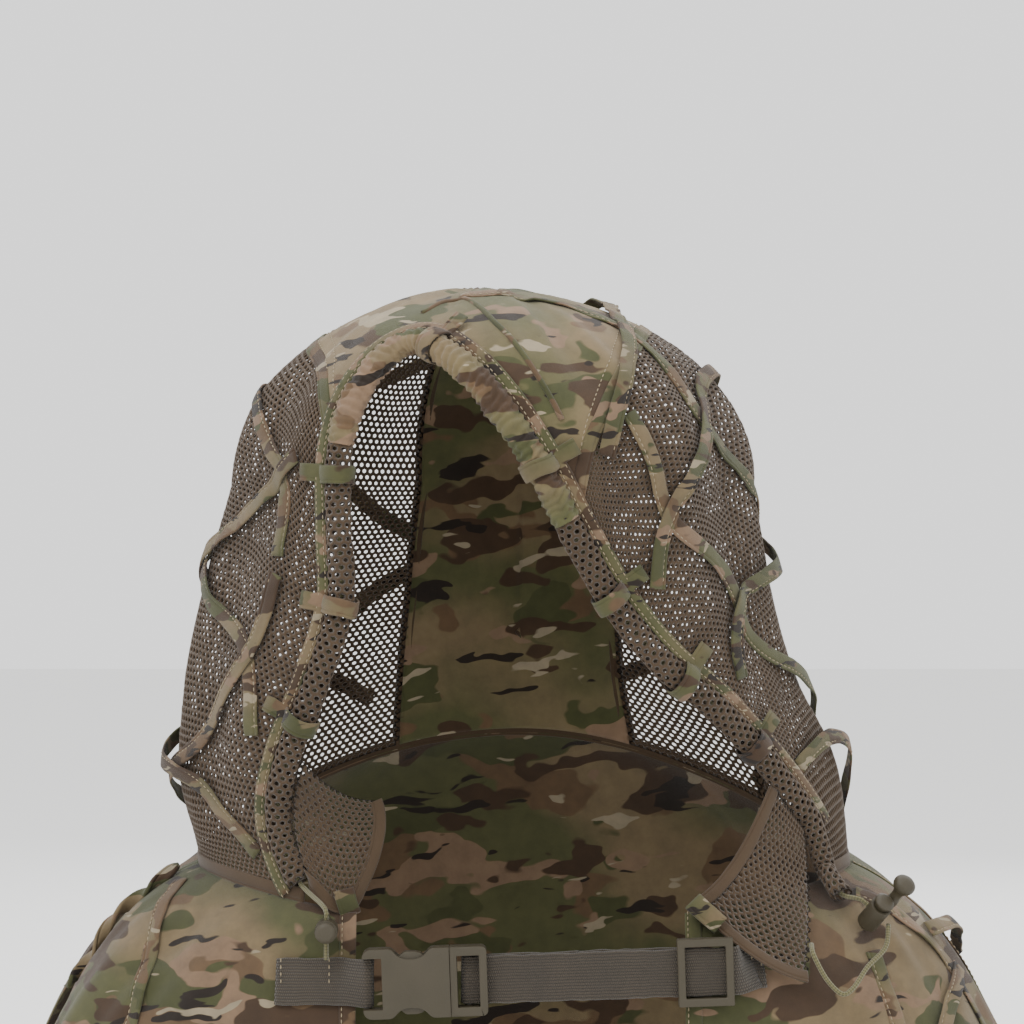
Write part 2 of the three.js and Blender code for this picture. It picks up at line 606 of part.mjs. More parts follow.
// ---- Cape ---------------------------------------------------------------------------------------
const SHOULDER_SEAM = 92; // turn of the seam over each shoulder
const CAPE_START = 0.004;
function capePanel(from, to, across, down) {
  return sheet(cape, (u, v) => {
    const fall = lerp(CAPE_START, 1, v);
    return [lerp(from(fall), to(fall), u), fall];
  }, across, down, 0, CLOTH);
}
const fixedTurn = (turn) => () => turn / 90;
add('cape_front_left', capePanel((fall) => frontTurn(FRONT_EDGE_LEFT, fall),
  fixedTurn(-SHOULDER_SEAM + 0.15), 8, 9), camo);
add('cape_front_right', capePanel((fall) => frontTurn(FRONT_EDGE_RIGHT, fall),
  fixedTurn(SHOULDER_SEAM - 0.15), 8, 9), camo);
add('cape_back', capePanel(fixedTurn(SHOULDER_SEAM + 0.15),
  fixedTurn(360 - SHOULDER_SEAM - 0.15), 18, 9), camo);

const CAPE_TAPES = {
  cape_tape_left_shoulder: [0, [[-86, 0.06, 0], [-88, 0.22, 0], [-88, 0.36, 1], [-87, 0.5, 0]]],
  cape_tape_left_front: [0, [[-76, 0.08, 0], [-60, 0.3, 0], [-54, 0.45, 0], [-48, 0.75, 0],
    [-47, 0.97, 0]]],
  cape_tape_left_cross: [1, [[-84, 0.62, 0], [-66, 0.6, 0], [-50, 0.66, 0], [-34, 0.82, 0]]],
  cape_tape_right_shoulder: [0, [[66, 0.1, 0], [71, 0.25, 0], [75, 0.42, 0], [78, 0.6, 0],
    [80, 0.97, 0]]],
  cape_tape_right_over: [1, [[74, 0.3, 0], [86, 0.33, 8], [98, 0.42, 0], [125, 0.55, 3],
    [155, 0.7, 0], [185, 0.88, 0]]],
  cape_tape_right_cross: [1, [[78, 0.42, 0], [64, 0.5, 0], [52, 0.65, 0], [38, 0.85, 0]]],
  cape_tape_right_front: [0, [[54, 0.3, 0], [50, 0.45, 0], [46, 0.7, 0], [45, 0.97, 0]]],
  cape_tape_back_left: [0, [[-172, 0.06, 0], [-150, 0.25, 3], [-125, 0.42, 0], [-105, 0.7, 3],
    [-98, 0.95, 0]]],
  cape_tape_back_right: [0, [[172, 0.06, 0], [150, 0.25, 3], [128, 0.45, 0], [112, 0.72, 3],
    [104, 0.95, 0]]],
};
Object.entries(CAPE_TAPES).forEach(([name, [level, route]]) => {
  add(name, tape(cape, capeFlat, route, level, 4 * (route.length - 1)), tapeCloth);
});

// ---- Collar gussets: mesh between the channel's lower ends and the cape's front edges -----------
const point = (x, y, z) => new THREE.Vector3(x, y, z);
// A bowed line through three points, at 0, 1/2 and 1.
const bow = ([start, middle, end]) => (t) => start.clone().multiplyScalar((1 - t) * (1 - 2 * t))
  .addScaledVector(middle, 4 * t * (1 - t))
  .addScaledVector(end, t * (2 * t - 1))
  .toArray();

function gusset(top, bottom, left, right, across, down) {
  const blend = patch(bow(top), bow(bottom), bow(left), bow(right));
  const at = ([u, v]) => new THREE.Vector3(...blend(u, v));
  const normal = (flat) => {
    const facing = normalAt(at, flat, 0.01);
    return facing.y > 0 ? facing.negate() : facing;
  };
  return sheet({ at, normal }, (u, v) => [u, v], across, down, 0, CLOTH);
}
const GUSSET_GAP = 1.2; // from the edge of the opening
const edgeAt = (t) => beside(t, -GUSSET_GAP, 0);
add('collar_gusset_left', gusset(
  [edgeAt(0.125), point(-97, -74, 49), point(-77, -66, 43)],
  [edgeAt(0.035), point(-99, -92, -9), point(-88, -88, -8)],
  [edgeAt(0.125), edgeAt(0.08), edgeAt(0.035)],
  [point(-77, -66, 43), point(-76, -73, 22), point(-88, -88, -8)], 4, 5), mesh);
const GUSSET_CORNER = point(148, -107, -45); // the free end of the cord is sewn beside it
add('collar_gusset_right', gusset(
  [edgeAt(0.905), edgeAt(0.928), edgeAt(0.95)],
  [point(92, -99, -8), point(122, -109, -33), GUSSET_CORNER],
  [edgeAt(0.905), point(113, -86, 12), point(92, -99, -8)],
  [edgeAt(0.95), point(151, -80, -12), GUSSET_CORNER], 5, 5), mesh);

// ---- Chest strap, in a frame along the strap ------------------------------------------------------
const HALF_WEB = WEBBING_WIDTH / 2;
const WEB_CLEAR = 0.6; // between webbing and the sides of a slot
const SLOT_HALF = HALF_WEB + WEB_CLEAR;
const STRAP_DEPTH = -117.5; // middle of the buckle
const HALF_BUCKLE = BUCKLE_WIDTH / 2;
const WEB_FRONT = STRAP_DEPTH - 0.9; // front face of the long webbing
const WEB_REAR = WEB_FRONT + WEBBING_THICKNESS;

const across = (shape, low, high, curveSegments = 8) => {
  const geometry = new THREE.ExtrudeGeometry(shape,
    { depth: high - low, steps: 1, curveSegments, bevelEnabled: false });
  geometry.rotateX(Math.PI / 2);
  geometry.translate(0, high, 0);
  return geometry;
};

// The female body: ears, a scooped waist that shows the latch arms, and a flared mouth.
const EAR_END = BUCKLE_LEFT + 13;
const MOUTH = BUCKLE_LEFT + BUCKLE_BODY;
const FLARE = MOUTH - 8;
const WAIST_HALF = 12.5;
const EAR_RADIUS = 4.5;
const BUCKLE_WALL = 1.5;
const femaleOutline = new THREE.Shape();
femaleOutline.moveTo(BUCKLE_LEFT + EAR_RADIUS, -HALF_BUCKLE);
femaleOutline.lineTo(EAR_END, -HALF_BUCKLE);
femaleOutline.bezierCurveTo(EAR_END + 5, -HALF_BUCKLE, EAR_END + 3, -WAIST_HALF,
  (EAR_END + FLARE) / 2, -WAIST_HALF);
femaleOutline.bezierCurveTo(FLARE - 3, -WAIST_HALF, FLARE - 4, -HALF_BUCKLE, FLARE, -HALF_BUCKLE);
femaleOutline.lineTo(MOUTH, -HALF_BUCKLE);
femaleOutline.lineTo(MOUTH, HALF_BUCKLE);
femaleOutline.lineTo(FLARE, HALF_BUCKLE);
femaleOutline.bezierCurveTo(FLARE - 4, HALF_BUCKLE, FLARE - 3, WAIST_HALF,
  (EAR_END + FLARE) / 2, WAIST_HALF);
femaleOutline.bezierCurveTo(EAR_END + 3, WAIST_HALF, EAR_END + 5, HALF_BUCKLE,
  EAR_END, HALF_BUCKLE);
femaleOutline.lineTo(BUCKLE_LEFT + EAR_RADIUS, HALF_BUCKLE);
femaleOutline.absarc(BUCKLE_LEFT + EAR_RADIUS, HALF_BUCKLE - EAR_RADIUS, EAR_RADIUS,
  Math.PI / 2, Math.PI, false);
femaleOutline.absarc(BUCKLE_LEFT + EAR_RADIUS, EAR_RADIUS - HALF_BUCKLE, EAR_RADIUS,
  Math.PI, 1.5 * Math.PI, false);

const FRONT_FACE = STRAP_DEPTH - BUCKLE_THICKNESS / 2;
const REAR_FACE = STRAP_DEPTH + BUCKLE_THICKNESS / 2;
const CAVITY_HALF = HALF_BUCKLE - BUCKLE_WALL;
const CAVITY_START = EAR_END + 4;
const PLATE = 1.8; // front and rear plates of the female body
const FEMALE_BAR = BUCKLE_LEFT + BAR / 2;
const FEMALE_BAR_DEPTH = STRAP_DEPTH + 2.5;
const WRAP = BAR / 2 + GAP; // radius at which webbing wraps a bar
const female = cut(
  across(femaleOutline, FRONT_FACE, REAR_FACE),
  box([CAVITY_START, FRONT_FACE + PLATE, -CAVITY_HALF], [MOUTH + 1, REAR_FACE - PLATE, CAVITY_HALF]),
  box([BUCKLE_LEFT - 1, FRONT_FACE - 1, -SLOT_HALF], [EAR_END - 3, REAR_FACE + 1, SLOT_HALF]));
const femaleBar = rod(BAR / 2, point(FEMALE_BAR, FEMALE_BAR_DEPTH, -SLOT_HALF - 1),
  point(FEMALE_BAR, FEMALE_BAR_DEPTH, SLOT_HALF + 1));
add('buckle_female', join(female, femaleBar), plastic, strap);

// The male plug: a frame with two bars outside, a base and a guide prong inside.
const PLUG_START = MOUTH + GAP;
const PLUG_END = PLUG_START + PLUG_FRAME;
const PLUG_BASE = 5; // length of the base inside the mouth
const ARM_LENGTH = 20;
const ARM_CLEAR = 0.4;
const SLIDE_CLEAR = 0.3;
const ARM_HALF = STRAP_DEPTH - FRONT_FACE - PLATE - SLIDE_CLEAR - 0.3;
const PRONG_HALF = 3.2;
const WRAP_BAR = PLUG_START + 9;
const WRAP_BAR_DEPTH = WEB_REAR + GAP + BAR / 2;
const plugOutline = new THREE.Shape();
plugOutline.moveTo(PLUG_START, -HALF_BUCKLE);
plugOutline.lineTo(PLUG_END - 3, -HALF_BUCKLE);
plugOutline.absarc(PLUG_END - 3, 3 - HALF_BUCKLE, 3, 1.5 * Math.PI, 2 * Math.PI, false);
plugOutline.absarc(PLUG_END - 3, HALF_BUCKLE - 3, 3, 0, Math.PI / 2, false);
plugOutline.lineTo(PLUG_START, HALF_BUCKLE);
plugOutline.closePath();
const CAVITY_DEPTH = BUCKLE_THICKNESS / 2 - PLATE - SLIDE_CLEAR;
const plug = join(
  cut(
    across(plugOutline, FRONT_FACE, REAR_FACE),
    box([PLUG_START + 3.5, FRONT_FACE - 1, -SLOT_HALF], [PLUG_END - BAR, REAR_FACE + 1, SLOT_HALF]),
    box([PLUG_START + 3.5, WEB_FRONT - GAP, -SLOT_HALF], [PLUG_END + 1, REAR_FACE + 1, SLOT_HALF])),
  box([PLUG_START - PLUG_BASE, STRAP_DEPTH - CAVITY_DEPTH, SLIDE_CLEAR - CAVITY_HALF],
    [PLUG_START + 1, STRAP_DEPTH + CAVITY_DEPTH, CAVITY_HALF - SLIDE_CLEAR]),
  box([CAVITY_START + 4, STRAP_DEPTH - CAVITY_DEPTH, -PRONG_HALF],
    [PLUG_START, STRAP_DEPTH + CAVITY_DEPTH, PRONG_HALF]),
  rod(BAR / 2, point(WRAP_BAR, WRAP_BAR_DEPTH, -SLOT_HALF - 1),
    point(WRAP_BAR, WRAP_BAR_DEPTH, SLOT_HALF + 1)));
add('buckle_plug', plug, plastic, strap);

// A latch arm, rounded about its pivot beside the plug's base.
const ARM_PIVOT_HEIGHT = 11;
const ARM_ROOT = 2.8;
const ARM_PIVOT = PLUG_START - PLUG_BASE - ARM_CLEAR - ARM_ROOT;
const ARM_REACH = CAVITY_HALF - SLIDE_CLEAR;
const armOutline = new THREE.Shape();
armOutline.absarc(ARM_PIVOT, ARM_PIVOT_HEIGHT, ARM_ROOT, -Math.PI / 2, Math.PI / 2, false);
[[-5, ARM_PIVOT_HEIGHT + ARM_ROOT], [-7, ARM_REACH - 0.6], [-10, ARM_REACH], [-15, ARM_REACH],
  [-ARM_LENGTH, ARM_PIVOT_HEIGHT + 1.5], [-ARM_LENGTH, ARM_PIVOT_HEIGHT - ARM_ROOT + 1],
  [-5, ARM_PIVOT_HEIGHT - ARM_ROOT]].forEach(([x, z]) => armOutline.lineTo(ARM_PIVOT + x, z));
const armPoints = armOutline.getPoints(8);
const mirroredPoints = armPoints.map(({ x, y }) => new THREE.Vector2(x, -y)).reverse();
const latchArm = (points) =>
  across(new THREE.Shape(points), STRAP_DEPTH - ARM_HALF, STRAP_DEPTH + ARM_HALF);
add('latch_arm_upper', latchArm(armPoints), plastic, strap);
add('latch_arm_lower', latchArm(mirroredPoints), plastic, strap);

// Webbing: sewn to the left front panel and wrapped on the female bar; sewn to the right front
// panel, through the slider, wrapped on the plug's bar and back to the slider.
strap.updateMatrixWorld(true);
const sewnStand = CLOTH + TAPE_GAP;
function sewnTo(x) {
  const height = STRAP_HEIGHT - x * Math.tan(strap.rotation.y);
  let low = 0;
  let high = 1;
  for (let k = 0; k < 30; k += 1) {
    const middle = (low + high) / 2;
    if (capePoint([frontTurn(x, middle), middle]).z > height) low = middle;
    else high = middle;
  }
  const flat = [frontTurn(x, low), low];
  const normal = capeNormal(flat);
  const place = capePoint(flat).addScaledVector(normal, sewnStand);
  return [strap.worldToLocal(place), normal];
}
const ahead = point(0, -1, 0);
const behind = point(0, 1, 0);
const wrapped = (x, y, degrees) => {
  const normal = point(Math.cos(rad(degrees)), Math.sin(rad(degrees)), 0);
  return [point(x, y, 0).addScaledVector(normal, WRAP), normal];
};
const webbingAlong = (places) => strip(places.map(([place]) => place),
  places.map(([, normal]) => normal), WEBBING_WIDTH, WEBBING_THICKNESS);
add('webbing_short', webbingAlong([
  ...[SHORT_END, SHORT_END + 12, SHORT_END + 24, FRONT_EDGE_LEFT - 3].map(sewnTo),
  ...[-120, -90, -45, 0, 45, 90].map((angle) => wrapped(FEMALE_BAR, FEMALE_BAR_DEPTH, angle)),
]), webbing, strap);

const SLIDER_RIGHT = SLIDER_CENTRE + SLIDER_LENGTH / 2;
add('webbing_main', webbingAlong([
  ...[STRAP_END + 6, STRAP_END].map(sewnTo),
  [point(SLIDER_RIGHT + 3, WEB_REAR + 1.6, 0), ahead],
  [point(SLIDER_RIGHT + 0.5, WEB_REAR, 0), ahead],
  [point(SLIDER_CENTRE, WEB_REAR, 0), ahead],
  [point((SLIDER_CENTRE + PLUG_END) / 2, WEB_REAR, 0), ahead],
  ...[-90, -125, -160, 165, 130, 90].map((angle) => wrapped(WRAP_BAR, WRAP_BAR_DEPTH, angle)),
  [point(WRAP_BAR + 7, WRAP_BAR_DEPTH + WRAP, 0), behind],
]), webbing, strap);
const SLIDER_BAR_FRONT = WEB_REAR + GAP;
add('webbing_return', webbingAlong([
  [point(WRAP_BAR + 7 + GAP, WRAP_BAR_DEPTH + WRAP, 0), behind],
  [point(SLIDER_CENTRE - 40, WRAP_BAR_DEPTH + WRAP, 0), behind],
  [point(SLIDER_CENTRE - 12, WRAP_BAR_DEPTH + WRAP - 2.5, 0), behind],
  [point(SLIDER_CENTRE - BAR / 2 - GAP, SLIDER_BAR_FRONT + 0.8, 0), behind],
]), webbing, strap);

// The slider: a frame in front of the webbing, side rails, and a middle bar behind it.
const SLIDER_PLATE = 3;
const SLIDER_HALF = HALF_BUCKLE - 0.5;
const sliderFront = WEB_FRONT - GAP - SLIDER_PLATE;
const sliderLeft = SLIDER_CENTRE - SLIDER_LENGTH / 2;
const sliderRear = SLIDER_BAR_FRONT + 2.6;
add('strap_slider', join(
  cut(
    box([sliderLeft, sliderFront, -SLIDER_HALF], [SLIDER_RIGHT, sliderRear, SLIDER_HALF]),
    box([sliderLeft + BAR, sliderFront - 1, -SLOT_HALF],
      [SLIDER_RIGHT - BAR, sliderRear + 1, SLOT_HALF]),
    box([sliderLeft - 1, WEB_FRONT - GAP, -SLOT_HALF],
      [SLIDER_RIGHT + 1, sliderRear + 1, SLOT_HALF])),
  box([SLIDER_CENTRE - BAR / 2, SLIDER_BAR_FRONT, -SLOT_HALF - 1],
    [SLIDER_CENTRE + BAR / 2, sliderRear, SLOT_HALF + 1])), plastic, strap);

// ---- Cord locks ---------------------------------------------------------------------------------
// Each stands with its closed end at the base and its cord across it; a spring lifts the plunger.
const CORD_PASS = 11.7; // height of the cord above the closed end
const CORD_HOLE = 2.1;
const STEM_RADIUS = LOCK_RADIUS - LOCK_WALL - GAP;
const STEM_FOOT = 7.8;
const LOCK_FLOOR = 2;
const HEAD_FOOT = LOCK_LENGTH + LOCK_TRAVEL + 0.2;
const HEAD_RADIUS = LOCK_RADIUS - 0.5;
const lathe = (profile) => new THREE.LatheGeometry(
  profile.map(([r, h]) => new THREE.Vector2(r, h)), 14).rotateX(Math.PI / 2);
const barrel = cut(
  lathe([[0, 0], [LOCK_RADIUS - 2, 0.4], [LOCK_RADIUS, 2.6], [LOCK_RADIUS, LOCK_LENGTH],
    [LOCK_RADIUS - LOCK_WALL, LOCK_LENGTH], [LOCK_RADIUS - LOCK_WALL, LOCK_FLOOR],
    [0, LOCK_FLOOR]]),
  rod(CORD_HOLE, point(-9, 0, CORD_PASS), point(9, 0, CORD_PASS), 10));
const plunger = cut(
  lathe([[0, STEM_FOOT], [STEM_RADIUS, STEM_FOOT], [STEM_RADIUS, HEAD_FOOT],
    [HEAD_RADIUS, HEAD_FOOT], [HEAD_RADIUS, HEAD_FOOT + 1.4],
    [HEAD_RADIUS - 1.8, HEAD_FOOT + LOCK_HEAD - 0.5], [0, HEAD_FOOT + LOCK_HEAD]]),
  box([-9, -1.6, CORD_PASS - DRAWCORD_RADIUS - 0.2],
    [9, 1.6, CORD_PASS + DRAWCORD_RADIUS + LOCK_TRAVEL + 0.4]));
const SPRING_TURNS = 3;
const SPRING_RADIUS = STEM_RADIUS - 0.9;
const springPoints = range(SPRING_TURNS * 8).map((t) => {
  const angle = t * SPRING_TURNS * 2 * Math.PI;
  return point(SPRING_RADIUS * Math.cos(angle), SPRING_RADIUS * Math.sin(angle),
    lerp(LOCK_FLOOR + 0.6, STEM_FOOT - 0.6, t));
});
const spring = sweep(springPoints, 0.3, 0, 5, SPRING_TURNS * 9);

function cordLock(name, base, axis, bore) {
  const place = new THREE.Matrix4().makeBasis(bore, axis.clone().cross(bore), axis)
    .setPosition(base);
  [['barrel', barrel, plastic], ['plunger', plunger, plastic], ['spring', spring, springSteel]]
    .forEach(([part, geometry, look]) =>
      add(`${name}_${part}`, geometry.clone().applyMatrix4(place), look));
  return [-10, -5, 0, 5, 9].map((along) =>
    base.clone().addScaledVector(axis, CORD_PASS).addScaledVector(bore, along));
}

const lockStand = CLOTH + GAP;
const leftFlat = [LEFT_LOCK_TURN / 90, LEFT_LOCK_FALL];
const leftBase = capePoint(leftFlat).addScaledVector(ahead, lockStand + 3);
const leftPass = cordLock('cord_lock_left', leftBase, ahead, point(0, 0, -1));

const rightFlat = [RIGHT_LOCK_TURN / 90, RIGHT_LOCK_FALL];
const rightAxis = capeNormal(rightFlat);
const rightBore = capePoint([rightFlat[0], rightFlat[1] + 0.01]).sub(capePoint(rightFlat));
rightBore.addScaledVector(rightAxis, -rightBore.dot(rightAxis)).normalize();
const rightBase = capePoint(rightFlat).addScaledVector(rightAxis, lockStand);
const rightPass = cordLock('cord_lock_right', rightBase, rightAxis, rightBore);

// ---- Drawcord: through both locks and the whole channel, and its free loop ------------------------
const cordStand = lockStand + CORD_PASS;
const LEFT_TAIL = 15; // below the left lock
add('drawcord', sweep([
  leftBase.clone().addScaledVector(ahead, CORD_PASS).add(point(0, 0, -LEFT_TAIL)),
  ...leftPass.slice(0, 4).reverse(),
  ...leftLine, ...brimLine, ...rightLine,
  ...rightPass.slice(0, 4),
], DRAWCORD_RADIUS, 0, 8, 78), cordCloth);
const LOOP_STANDS = [[53, 0.32, 13], [47, 0.36, 12], [42, 0.41, 12], [40, 0.42, 12],
  [38.8, 0.38, 12]];
add('drawcord_loop', sweep([
  rightPass[4], ...LOOP_STANDS.map(([turn, fall, stand]) => onCape(turn, fall, stand)),
  GUSSET_CORNER.clone().add(point(DRAWCORD_RADIUS + 2, 0, 12)),
  GUSSET_CORNER.clone().add(point(DRAWCORD_RADIUS + 1.6, 9, 16)),
], DRAWCORD_RADIUS, 0, 8, 34), cordCloth);

export default suit;
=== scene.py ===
"""Ghillie suit hood with shoulder cape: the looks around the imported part.

Sizes in the functions are millimetres unless a name says otherwise, and meshes are in metres.
"""

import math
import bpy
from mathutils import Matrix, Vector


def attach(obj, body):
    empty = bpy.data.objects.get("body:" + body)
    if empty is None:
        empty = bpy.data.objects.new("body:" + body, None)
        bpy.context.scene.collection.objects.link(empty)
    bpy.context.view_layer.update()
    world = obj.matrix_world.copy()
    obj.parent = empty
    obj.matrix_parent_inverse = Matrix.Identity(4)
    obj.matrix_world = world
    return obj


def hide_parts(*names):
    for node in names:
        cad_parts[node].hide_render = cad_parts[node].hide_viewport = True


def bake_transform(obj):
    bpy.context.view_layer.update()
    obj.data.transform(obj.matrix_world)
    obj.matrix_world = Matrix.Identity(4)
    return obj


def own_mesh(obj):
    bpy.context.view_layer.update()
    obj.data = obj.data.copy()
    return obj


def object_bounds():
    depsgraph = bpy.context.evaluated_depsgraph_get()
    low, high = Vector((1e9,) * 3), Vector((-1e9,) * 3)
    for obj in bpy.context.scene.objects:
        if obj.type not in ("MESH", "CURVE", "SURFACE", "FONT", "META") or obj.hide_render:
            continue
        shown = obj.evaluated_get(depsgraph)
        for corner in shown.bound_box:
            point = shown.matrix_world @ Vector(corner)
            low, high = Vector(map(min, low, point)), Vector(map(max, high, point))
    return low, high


bl_info = {
    "name": "Ghillie hood with shoulder cape",
    "version": (1, 0, 0),
    "blender": (4, 2, 0),
    "location": "View3D > Sidebar > Ghillie hood",
    "description": "Makes a mesh ghillie hood, its garnish tapes, cape, strap and cord locks",
    "category": "Object",
}

import bmesh
import bpy
import numpy as np
from bpy.props import FloatProperty, FloatVectorProperty, IntProperty, PointerProperty
from mathutils import Vector

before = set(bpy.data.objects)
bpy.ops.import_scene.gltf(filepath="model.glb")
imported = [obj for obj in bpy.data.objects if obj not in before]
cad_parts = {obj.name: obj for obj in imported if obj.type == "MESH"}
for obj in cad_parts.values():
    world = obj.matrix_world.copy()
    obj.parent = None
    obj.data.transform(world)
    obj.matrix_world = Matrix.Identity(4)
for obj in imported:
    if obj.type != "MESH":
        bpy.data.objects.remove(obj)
CAD_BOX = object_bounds()

MM = 0.001

# ---- The part's own sizes, as the frame has them ------------------------------------------------
HOOD_TOP, HOOD_LEFT, HOOD_RIGHT = 313.0, 183.0, 176.0
HOOD_FRONT, HOOD_BACK = 124.0, 124.0
CROWN_SHIFT, CROWN_START, CROWN_REACH = -22.0, 207.0, 0.45
NECK_FRONT, NECK_SIDE, NECK_BACK = -18.0, 3.0, 65.0
CAPE_SHOULDER, CAPE_HEM_WIDTH = 262.0, 288.0
CAPE_FRONT, CAPE_BACK = 118.0, 150.0
HEM_FRONT, HEM_SIDE, HEM_BACK = -195.0, -190.0, -262.0
FRONT_EDGE_LEFT, FRONT_EDGE_RIGHT = -90.0, 89.0
CLOTH, TAPE_GAP, TAPE_STEP = 2.0, 0.5, 2.5
CHANNEL_RADIUS, CHANNEL_CLEAR = 6.0, 0.8
PANEL_START = 2 * CHANNEL_RADIUS + CHANNEL_CLEAR
DRAWCORD_RADIUS = 1.3
RIM = 1 - 3 / (HOOD_TOP - NECK_SIDE)
WALL_ROWS = np.array([
    [-0.1, 0.93, 0.99, 0.87, 0.97],
    [0.03, 0.95, 1.0, 0.88, 0.95],
    [0.19, 1.0, 0.93, 0.92, 0.93],
    [0.32, 0.975, 0.83, 0.95, 0.94],
    [0.48, 0.905, 0.76, 0.98, 0.97],
    [0.66, 0.82, 0.69, 1.0, 1.0],
])
EDGE = [
    [-35, -0.035], [-41, 0.03], [-43, 0.11], [-40, 0.2], [-35, 0.33], [-32, 0.47], [-35, 0.6],
    [-37, 0.7], [-36, 0.81], [-28, 0.893], [-16, 0.863], [-5, 0.78], [2, 0.69], [9, 0.594],
    [19, 0.46], [29, 0.364], [42, 0.272], [58, 0.11], [69, 0.0],
]
CROWN_SEAM = [[16, 0.72], [27, 0.82], [52, 0.905], [100, 0.93], [148, 0.92], [180, 0.915],
              [212, 0.92], [245, 0.925], [275, 0.905], [304, 0.86]]
BRIM_FROM, BRIM_TO = 0.37, 0.63
CHANNEL_FROM, CHANNEL_TO = 0.03, 0.962
SIDE_SEAM, CENTRE_SEAM, CROWN_CORNER, SHOULDER_SEAM = 128.0, 158.0, 148.0, 92.0
HOOD_MIDDLE = (0.0, 0.0, 60.0)  # the hood's cloth faces away from here
CHANNEL_LOOPS = [0.15, 0.245, 0.345, 0.467, 0.59, 0.7, 0.79, 0.87]
STRAP_HEIGHT, STRAP_TILT, STRAP_DEPTH = -44.0, -2.0, -117.5
LOCK_CORD_PASS, LOCK_STAND, LOCK_PRESS = 11.7, 2.3, 2.4

# Each tape: level, route of [turn, height share or fall, lift].
HOOD_TAPES = {
    "hood_tape_right_1": (0, [[-22, 0.985, 0], [52, 0.94, 0], [57, 0.8, 1], [80, 0.66, 0],
                              [110, 0.5, 0], [140, 0.36, 0], [165, 0.27, 0]]),
    "hood_tape_right_2": (1, [[21, 0.72, 0], [45, 0.9, 0], [75, 0.955, 0], [120, 0.955, 5],
                              [170, 0.93, 0], [215, 0.84, 3], [250, 0.7, 0]]),
    "hood_tape_right_3": (0, [[30, 0.79, 0], [33, 0.71, 2], [37, 0.61, 0], [55, 0.51, 2],
                              [66, 0.4, 0], [88, 0.3, 5], [105, 0.19, 0], [130, 0.13, 0]]),
    "hood_tape_right_4": (1, [[31, 0.5, 0], [33, 0.58, 0], [55, 0.75, 2], [72, 0.84, 0],
                              [100, 0.83, 3], [135, 0.7, 0], [175, 0.56, 0], [215, 0.42, 0]]),
    "hood_tape_right_5": (0, [[53, 0.345, 0], [53, 0.42, 3], [84, 0.53, 6], [112, 0.6, 0.6],
                              [150, 0.5, 3], [180, 0.38, 0]]),
    "hood_tape_right_6": (0, [[63, 0.19, 0], [72, 0.22, 6], [86, 0.2, 9], [97, 0.1, 0],
                              [112, 0.07, 0]]),
    "hood_tape_left_1": (0, [[-52, 0.55, 0], [-55, 0.66, 0], [-68, 0.74, 2], [-92, 0.82, 0],
                             [-118, 0.76, 0], [-150, 0.6, 0], [-176, 0.47, 0]]),
    "hood_tape_left_2": (1, [[-51, 0.72, 0], [-60, 0.67, 2], [-78, 0.59, 0], [-100, 0.47, 4],
                             [-125, 0.35, 0], [-152, 0.27, 0]]),
    "hood_tape_left_3": (0, [[-50, 0.25, 0], [-53, 0.36, 0], [-77, 0.47, 3], [-98, 0.56, 0],
                             [-122, 0.52, 2], [-140, 0.42, 0]]),
    "hood_tape_left_4": (1, [[-50, 0.52, 1], [-53, 0.4, 0], [-60, 0.32, 2], [-72, 0.22, 0],
                             [-100, 0.12, 5], [-125, 0.12, 0]]),
    "hood_tape_left_5": (0, [[-52, 0.05, 0], [-60, 0.1, 0], [-68, 0.15, 2], [-88, 0.2, 8],
                             [-105, 0.27, 0], [-120, 0.33, 0]]),
}
CAPE_TAPES = {
    "cape_tape_left_shoulder": (0, [[-86, 0.06, 0], [-88, 0.22, 0], [-88, 0.36, 1],
                                    [-87, 0.5, 0]]),
    "cape_tape_left_front": (0, [[-76, 0.08, 0], [-60, 0.3, 0], [-54, 0.45, 0], [-48, 0.75, 0],
                                 [-47, 0.97, 0]]),
    "cape_tape_left_cross": (1, [[-84, 0.62, 0], [-66, 0.6, 0], [-50, 0.66, 0],
                                 [-34, 0.82, 0]]),
    "cape_tape_right_shoulder": (0, [[66, 0.1, 0], [71, 0.25, 0], [75, 0.42, 0], [78, 0.6, 0],
                                     [80, 0.97, 0]]),
    "cape_tape_right_over": (1, [[74, 0.3, 0], [86, 0.33, 8], [98, 0.42, 0], [125, 0.55, 3],
                                 [155, 0.7, 0], [185, 0.88, 0]]),
    "cape_tape_right_cross": (1, [[78, 0.42, 0], [64, 0.5, 0], [52, 0.65, 0], [38, 0.85, 0]]),
    "cape_tape_right_front": (0, [[54, 0.3, 0], [50, 0.45, 0], [46, 0.7, 0], [45, 0.97, 0]]),
    "cape_tape_back_left": (0, [[-172, 0.06, 0], [-150, 0.25, 3], [-125, 0.42, 0],
                                [-105, 0.7, 3], [-98, 0.95, 0]]),
    "cape_tape_back_right": (0, [[172, 0.06, 0], [150, 0.25, 3], [128, 0.45, 0],
                                 [112, 0.72, 3], [104, 0.95, 0]]),
}
HOOD_WAVE, HOOD_SOFT, CAPE_FOLD, CREASE = 3.6, 3.4, 6.0, 1.5  # depths of the cloth's folds
MESH_STAND, CLOTH_STAND = 0.8, 0.9  # middle of the cloth above the laid-out surface
SIDE_HOLE, BACK_HOLE, CHANNEL_HOLE = 0.4, 0.5, 0.46  # hole size as a share of a mesh cell
BUNCH, PLEAT, RUCK = 1.2, 0.6, 0.7  # the brim's gathers, broad to fine


# ---- Number helpers -----------------------------------------------------------------------------
def lerp(a, b, t):
    return a + (b - a) * t


def smooth_step(low, high, value):
    t = np.clip((value - low) / (high - low), 0.0, 1.0)
    return t * t * (3 - 2 * t)


